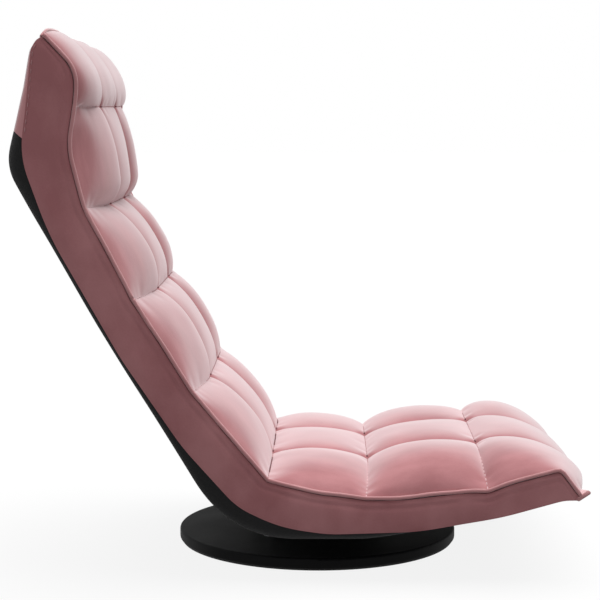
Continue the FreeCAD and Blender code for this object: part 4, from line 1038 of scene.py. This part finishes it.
def weave_group():
    """Plain woven cloth: crossing threads, slubs and their height."""
    tree, given, result = group_tree("plain weave", {
        "Thread Colour": (0.02, 0.02, 0.02, 1),
        "Worn Colour": (0.04, 0.04, 0.04, 1),
        "Thread Scale": 900.0,
    })
    place = add(tree, "ShaderNodeTexCoord").outputs["Object"]
    heights = []
    for direction in ("X", "Y", "Z"):
        wave = add(tree, "ShaderNodeTexWave", wave_type="BANDS", bands_direction=direction)
        wave.inputs["Distortion"].default_value = 1.2
        wave.inputs["Detail"].default_value = 1.0
        tree.links.new(given.outputs["Thread Scale"], wave.inputs["Scale"])
        tree.links.new(place, wave.inputs["Vector"])
        heights.append(wave.outputs["Fac"])
    weave = math_node(tree, "MAXIMUM", math_node(tree, "MAXIMUM", heights[0], heights[1]), heights[2])
    slubs = noise_value(tree, place, 60.0, 4.0)
    worn = math_node(tree, "MULTIPLY", slubs, weave)
    colour = blend_colour(tree, worn, given.outputs["Thread Colour"], given.outputs["Worn Colour"])
    tree.links.new(colour, result.inputs["Colour"])
    tree.links.new(math_node(tree, "MULTIPLY_ADD", slubs, 0.2, 0.72), result.inputs["Roughness"])
    tree.links.new(weave, result.inputs["Height"])
    return tree


def finish_grain_group():
    """A coated or metal face: faint cloudiness, fine grain and their height."""
    tree, given, result = group_tree("finish grain", {
        "Main Colour": (0.02, 0.02, 0.02, 1),
        "Cloud Colour": (0.03, 0.03, 0.03, 1),
        "Grain Scale": 700.0,
        "Roughness Low": 0.4,
        "Roughness High": 0.6,
    })
    place = add(tree, "ShaderNodeTexCoord").outputs["Object"]
    clouds = noise_value(tree, place, 18.0, 5.0)
    grain = noise_value(tree, place, given.outputs["Grain Scale"], 2.0)
    colour = blend_colour(tree, clouds, given.outputs["Main Colour"], given.outputs["Cloud Colour"])
    tree.links.new(colour, result.inputs["Colour"])
    low, high = given.outputs["Roughness Low"], given.outputs["Roughness High"]
    rough = math_node(tree, "MULTIPLY_ADD", math_node(tree, "SUBTRACT", high, low), clouds, low)
    tree.links.new(rough, result.inputs["Roughness"])
    tree.links.new(grain, result.inputs["Height"])
    return tree


VELVET_NAP = velvet_nap_group()
PLAIN_WEAVE = weave_group()
FINISH_GRAIN = finish_grain_group()


def surface(name, group, values, bump, **shader_values):
    """A Principled material fed by one of the shared groups. The bump is its distance and strength."""
    material = bpy.data.materials.new(name)
    tree = nodes_of(material)
    output = add(tree, "ShaderNodeOutputMaterial")
    shader = add(tree, "ShaderNodeBsdfPrincipled")
    effect = add(tree, "ShaderNodeGroup", node_tree=group)
    for label, value in values.items():
        effect.inputs[label].default_value = value
    for label, value in shader_values.items():
        shader.inputs[label.replace("_", " ")].default_value = value
    relief = add(tree, "ShaderNodeBump")
    relief.inputs["Distance"].default_value, relief.inputs["Strength"].default_value = bump
    tree.links.new(effect.outputs["Colour"], shader.inputs["Base Color"])
    tree.links.new(effect.outputs["Roughness"], shader.inputs["Roughness"])
    tree.links.new(effect.outputs["Height"], relief.inputs["Height"])
    tree.links.new(relief.outputs["Normal"], shader.inputs["Normal"])
    tree.links.new(shader.outputs[0], output.inputs["Surface"])
    return material


# The painted sheen's start and end by how far the cloth slants from the view, and its share at each
PAINTED_SHEEN_RANGE = (0.50, 1.0, 0.0, 0.95)


def velvet(name, pile, brushed, painted_sheen):
    """Pile that looks deep face on, with a sheen painted into its colour that turns it pale where it is seen
    along the surface.
    """
    values = {"Pile Colour": (*pile, 1), "Brushed Colour": (*brushed, 1)}
    material = surface(
        name, VELVET_NAP, values, (0.0006, 0.30),
        Sheen_Weight=0.5, Sheen_Roughness=0.40, Sheen_Tint=(1.0, 0.93, 0.94, 1), Specular_IOR_Level=0.10,
    )
    tree = material.node_tree
    colour = next(link for link in tree.links if link.to_socket.name == "Base Color")
    shader_colour, nap = colour.to_socket, colour.from_socket
    # Painted sheen: the base colour is mixed towards a pale one as the surface slants from the view
    slant = add(tree, "ShaderNodeLayerWeight")
    slant.inputs["Blend"].default_value = 0.5
    ease = add(tree, "ShaderNodeMapRange", interpolation_type="SMOOTHSTEP")
    for socket, value in zip(list(ease.inputs)[1:5], PAINTED_SHEEN_RANGE):
        socket.default_value = value
    tree.links.new(slant.outputs["Facing"], ease.inputs[0])
    tree.links.new(blend_colour(tree, ease.outputs[0], nap, (*painted_sheen, 1)), shader_colour)
    return material


def woven(name, thread, worn, scale=2600.0, bump=(0.0002, 0.4), **shader_values):
    """Sewing thread, or plain cloth at a coarser scale."""
    values = {"Thread Colour": (*thread, 1), "Worn Colour": (*worn, 1), "Thread Scale": scale}
    return surface(name, PLAIN_WEAVE, values, bump, **shader_values)


def finish(name, main, cloud, bump, rough=(0.4, 0.6), grain=700.0, **shader_values):
    """A coated, moulded or metal face."""
    values = {"Main Colour": (*main, 1), "Cloud Colour": (*cloud, 1), "Grain Scale": grain,
              "Roughness Low": rough[0], "Roughness High": rough[1]}
    return surface(name, FINISH_GRAIN, values, bump, **shader_values)


MATERIALS = {
    "velvet_pink": velvet("pink velvet", (0.41, 0.165, 0.176), (0.52, 0.232, 0.244), (0.79, 0.66, 0.675)),
    # A lighter copy of the pink velvet for the welt cords and the front hem: a highlight painted into its
    # colour
    "piping_pink": velvet("pink welt cord, painted highlight", (0.54, 0.25, 0.26), (0.64, 0.32, 0.33), (0.84, 0.66, 0.67)),
    # A lighter copy of the pink velvet for the head's rear panel, with painted light in its colour
    "velvet_painted_lighter": velvet(
        "pink velvet, painted lighter", (0.64, 0.305, 0.320), (0.75, 0.385, 0.400), (0.80, 0.66, 0.675),
    ),
    "thread_pink": woven("pink sewing thread", (0.66, 0.44, 0.45), (0.82, 0.62, 0.63), Sheen_Weight=0.3),
    # A darker thread than the pale one: painted shade for the stitches sunk in the seams; the rear topstitch
    # takes it as its thread colour
    "thread_rose_with_painted_shade": woven("rose sewing thread, with painted shade", (0.40, 0.18, 0.19), (0.54, 0.28, 0.29), Sheen_Weight=0.2),
    # Near-black thread: painted shade in the tufts' slits and along the waist's crease
    "thread_dark_painted_shade": woven("dark rose thread, painted shade", (0.12, 0.035, 0.04), (0.20, 0.07, 0.08)),
    "cloth_black": woven(
        "black backing cloth", (0.006, 0.006, 0.006), (0.020, 0.020, 0.021), 700.0, (0.0004, 0.5),
        Sheen_Weight=0.08, Specular_IOR_Level=0.2,
    ),
    "base_black": finish(
        "black base board", (0.004, 0.004, 0.0043), (0.007, 0.007, 0.0073), (0.0002, 0.35), (0.55, 0.70),
        Specular_IOR_Level=0.08,
    ),
    "frame_black": finish(
        "black powder coat", (0.010, 0.010, 0.010), (0.018, 0.018, 0.018), (0.0003, 0.6), grain=1600.0,
    ),
    "zinc_steel": finish(
        "zinc plated steel", (0.42, 0.43, 0.45), (0.56, 0.56, 0.55), (0.0001, 0.25), (0.26, 0.42),
        Metallic=1.0,
    ),
    "spring_steel": finish(
        "spring steel", (0.22, 0.23, 0.26), (0.34, 0.33, 0.32), (0.0001, 0.25), (0.22, 0.36), Metallic=1.0,
    ),
    "ball_steel": finish(
        "polished bearing steel", (0.62, 0.63, 0.65), (0.70, 0.70, 0.70), (0.00005, 0.1), (0.06, 0.14),
        Metallic=1.0,
    ),
    "cage_plastic": finish("ivory cage plastic", (0.58, 0.55, 0.46), (0.66, 0.63, 0.55), (0.0001, 0.2)),
    "floor_pad_rubber": finish(
        "black foot rubber", (0.008, 0.008, 0.008), (0.016, 0.016, 0.016), (0.0003, 0.5), (0.7, 0.88),
    ),
}


def dress(piece, slot, material=None):
    piece.data.materials.clear()
    piece.data.materials.append(MATERIALS[material or slot])
    return piece


# Soft pieces on the frame


def bend_at_waist(piece):
    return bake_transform(piece)


def bend_at_neck(piece):
    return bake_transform(piece)


def make_quilts():
    lower = dress(quilt("quilt_seat_and_lower_back", 0, SPLIT_SEAM), "velvet_pink")
    upper = dress(quilt("quilt_upper_back_and_head", SPLIT_SEAM, HEAD_ROW + 1), "velvet_pink")
    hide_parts("seat_cushion", "waist_bend_padding", "back_cushion")
    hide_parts("neck_bend_padding", "head_cushion")
    bend_at_waist(lower)
    bend_at_neck(upper)


def make_borders():
    for side, word in ((-1, "right"), (1, "left")):
        lower = border("border_lower_" + word, side, LOWER_ANCHORS, LOWER_STEPS)
        upper = border("border_upper_" + word, side, UPPER_ANCHORS, UPPER_STEPS)
        for piece in (lower, upper):
            dress(piece, "velvet_pink")
        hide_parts("seat_side_panels", "back_side_panels")
        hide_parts("head_side_panels")
        bend_at_waist(lower)
        bend_at_neck(upper)


def make_cords():
    for side, word in ((-1, "right"), (1, "left")):
        lower = side_cord("welt_cord_lower_" + word, side, 0.0, SEAM_SHARES[SPLIT_SEAM])
        end = 1.0 if side < 0 else LEFT_CORD_END
        upper = side_cord("welt_cord_upper_" + word, side, SEAM_SHARES[SPLIT_SEAM], end)
        for piece in (lower, upper):
            dress(piece, "piping_pink")
        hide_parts("seat_piping", "back_piping")
        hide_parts("head_piping")
        bend_at_waist(lower)
        bend_at_neck(upper)
    front = front_hem("front_seam_hem")
    top = head_top_cord("head_top_seam_cord")
    for piece, body in ((front, "seat"), (top, "head")):
        dress(piece, "piping_pink")
        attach(piece, body)


def make_covers():
    lower = wrapped_cover("black_cover_lower", COVER_LOWER_ANCHORS, COVER_LOWER_STEPS, COVER_FRONT_CORNER)
    upper = wrapped_cover("black_cover_upper", COVER_UPPER_ANCHORS, COVER_UPPER_STEPS)
    for piece in (lower, upper):
        dress(piece, "cloth_black")
    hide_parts("seat_bottom_cover", "waist_bend_cover", "back_cover")
    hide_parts("neck_bend_cover", "head_cover_hem")
    bend_at_waist(lower)
    bend_at_neck(upper)
    panel = wrapped_cover(
        "head_rear_velvet_panel", REAR_PANEL_ANCHORS, REAR_PANEL_STEPS, closing_edge=quilt_top_edge(),
    )
    # The head's rear panel wears the lighter copy of the velvet, with painted light
    dress(panel, "velvet_pink", "velvet_painted_lighter")
    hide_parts("head_rear_panel")
    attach(panel, "head")


def make_stitches():
    runs = (("_lower", 0, SPLIT_SEAM, bend_at_waist), ("_upper", SPLIT_SEAM, HEAD_ROW + 1, bend_at_neck))
    for part, first, last, bend in runs:
        seams = range(max(1, first), last)
        pale = dress(outer_stitches("outer_stitches" + part, seams), "piping_pink", "thread_pink")
        sunk = dress(sunk_stitches("sunk_stitches" + part, first, last, seams), "piping_pink", "thread_rose_with_painted_shade")
        # The tacks and the crease draws are dark thread, painted shade
        tacks = dress(tuft_tacks_and_crease_shade("tuft_tacks_and_crease_shade" + part, seams), "piping_pink", "thread_dark_painted_shade")
        for piece in (pale, sunk, tacks):
            bend(piece)
    rear = dress(rear_topstitch("rear_edge_topstitch"), "piping_pink", "thread_rose_with_painted_shade")
    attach(rear, "head")


def dress_frame_nodes():
    slots = {p["node"]: p["material_slot"] for p in frame["record"]["subparts"]}
    for node, piece in frame["nodes"].items():
        piece.data.materials.clear()
        piece.data.materials.append(MATERIALS[slots[node]])


# Studio

def seen_share(tree):
    """One for the rays by which a thing is seen, and nothing for those by which it lights others."""
    path = add(tree, "ShaderNodeLightPath")
    seen = math_node(tree, "MAXIMUM", path.outputs["Is Camera Ray"], path.outputs["Is Glossy Ray"])
    return math_node(tree, "MAXIMUM", seen, path.outputs["Is Transmission Ray"])


def mix_shaders(tree, share, one, other, output):
    mix = add(tree, "ShaderNodeMixShader")
    tree.links.new(share, mix.inputs[0])
    tree.links.new(one.outputs[0], mix.inputs[1])
    tree.links.new(other.outputs[0], mix.inputs[2])
    tree.links.new(mix.outputs[0], output.inputs["Surface"])


def floor_material():
    """A pale floor that reads white to the camera and still takes the chair's shadow."""
    material = bpy.data.materials.new("pale floor")
    tree = nodes_of(material)
    output = add(tree, "ShaderNodeOutputMaterial")
    matt = add(tree, "ShaderNodeBsdfDiffuse")
    glow = add(tree, "ShaderNodeEmission")
    glow.inputs["Color"].default_value = WHITE
    seen = seen_share(tree)
    tint = blend_colour(tree, seen, FLOOR_LIT_COLOUR, FLOOR_SEEN_COLOUR)
    tree.links.new(tint, matt.inputs["Color"])
    mix_shaders(tree, math_node(tree, "MULTIPLY", seen, FLOOR_GLOW), matt, glow, output)
    return material


def make_floor():
    near, far = [[(x, y, 0) for x in (-FLOOR_HALF, FLOOR_HALF)] for y in (-FLOOR_HALF, FLOOR_HALF)]
    floor = sheet_object("floor", [near, far])
    floor.data.materials.append(floor_material())


def soft_sun(name, from_way, spread, strength):
    """One large, soft, even light."""
    data = bpy.data.lights.new(name, "SUN")
    data.angle = math.radians(spread)
    data.energy = strength
    light = bpy.data.objects.new(name, data)
    light.rotation_euler = Vector(from_way).to_track_quat("Z", "Y").to_euler()
    bpy.context.collection.objects.link(light)


def make_world():
    """Even light from all round, in front of white."""
    world = bpy.data.worlds.new("studio")
    bpy.context.scene.world = world
    tree = nodes_of(world)
    output = add(tree, "ShaderNodeOutputWorld")
    room = add(tree, "ShaderNodeBackground")
    white = add(tree, "ShaderNodeBackground")
    for light, strength in ((room, ROOM_LIGHT), (white, 1.0)):
        light.inputs["Color"].default_value = WHITE
        light.inputs["Strength"].default_value = strength
    mix_shaders(tree, seen_share(tree), room, white, output)


def make_camera():
    camera = bpy.data.objects.new("camera", bpy.data.cameras.new("camera"))
    camera.data.lens = LENS
    camera.data.sensor_width = SENSOR_WIDTH
    camera.location = CAMERA_PLACE
    camera.rotation_euler = (math.pi / 2 - CAMERA_PITCH, 0.0, CAMERA_TURN)
    bpy.context.collection.objects.link(camera)
    bpy.context.scene.camera = camera
    bpy.context.scene.view_settings.view_transform = "Standard"


def make_studio():
    make_floor()
    make_world()
    soft_sun("overhead", SUN_FROM, SUN_SPREAD, SUN_STRENGTH)
    make_camera()


dress_frame_nodes()
make_quilts()
make_borders()
make_cords()
make_covers()
make_stitches()
make_studio()
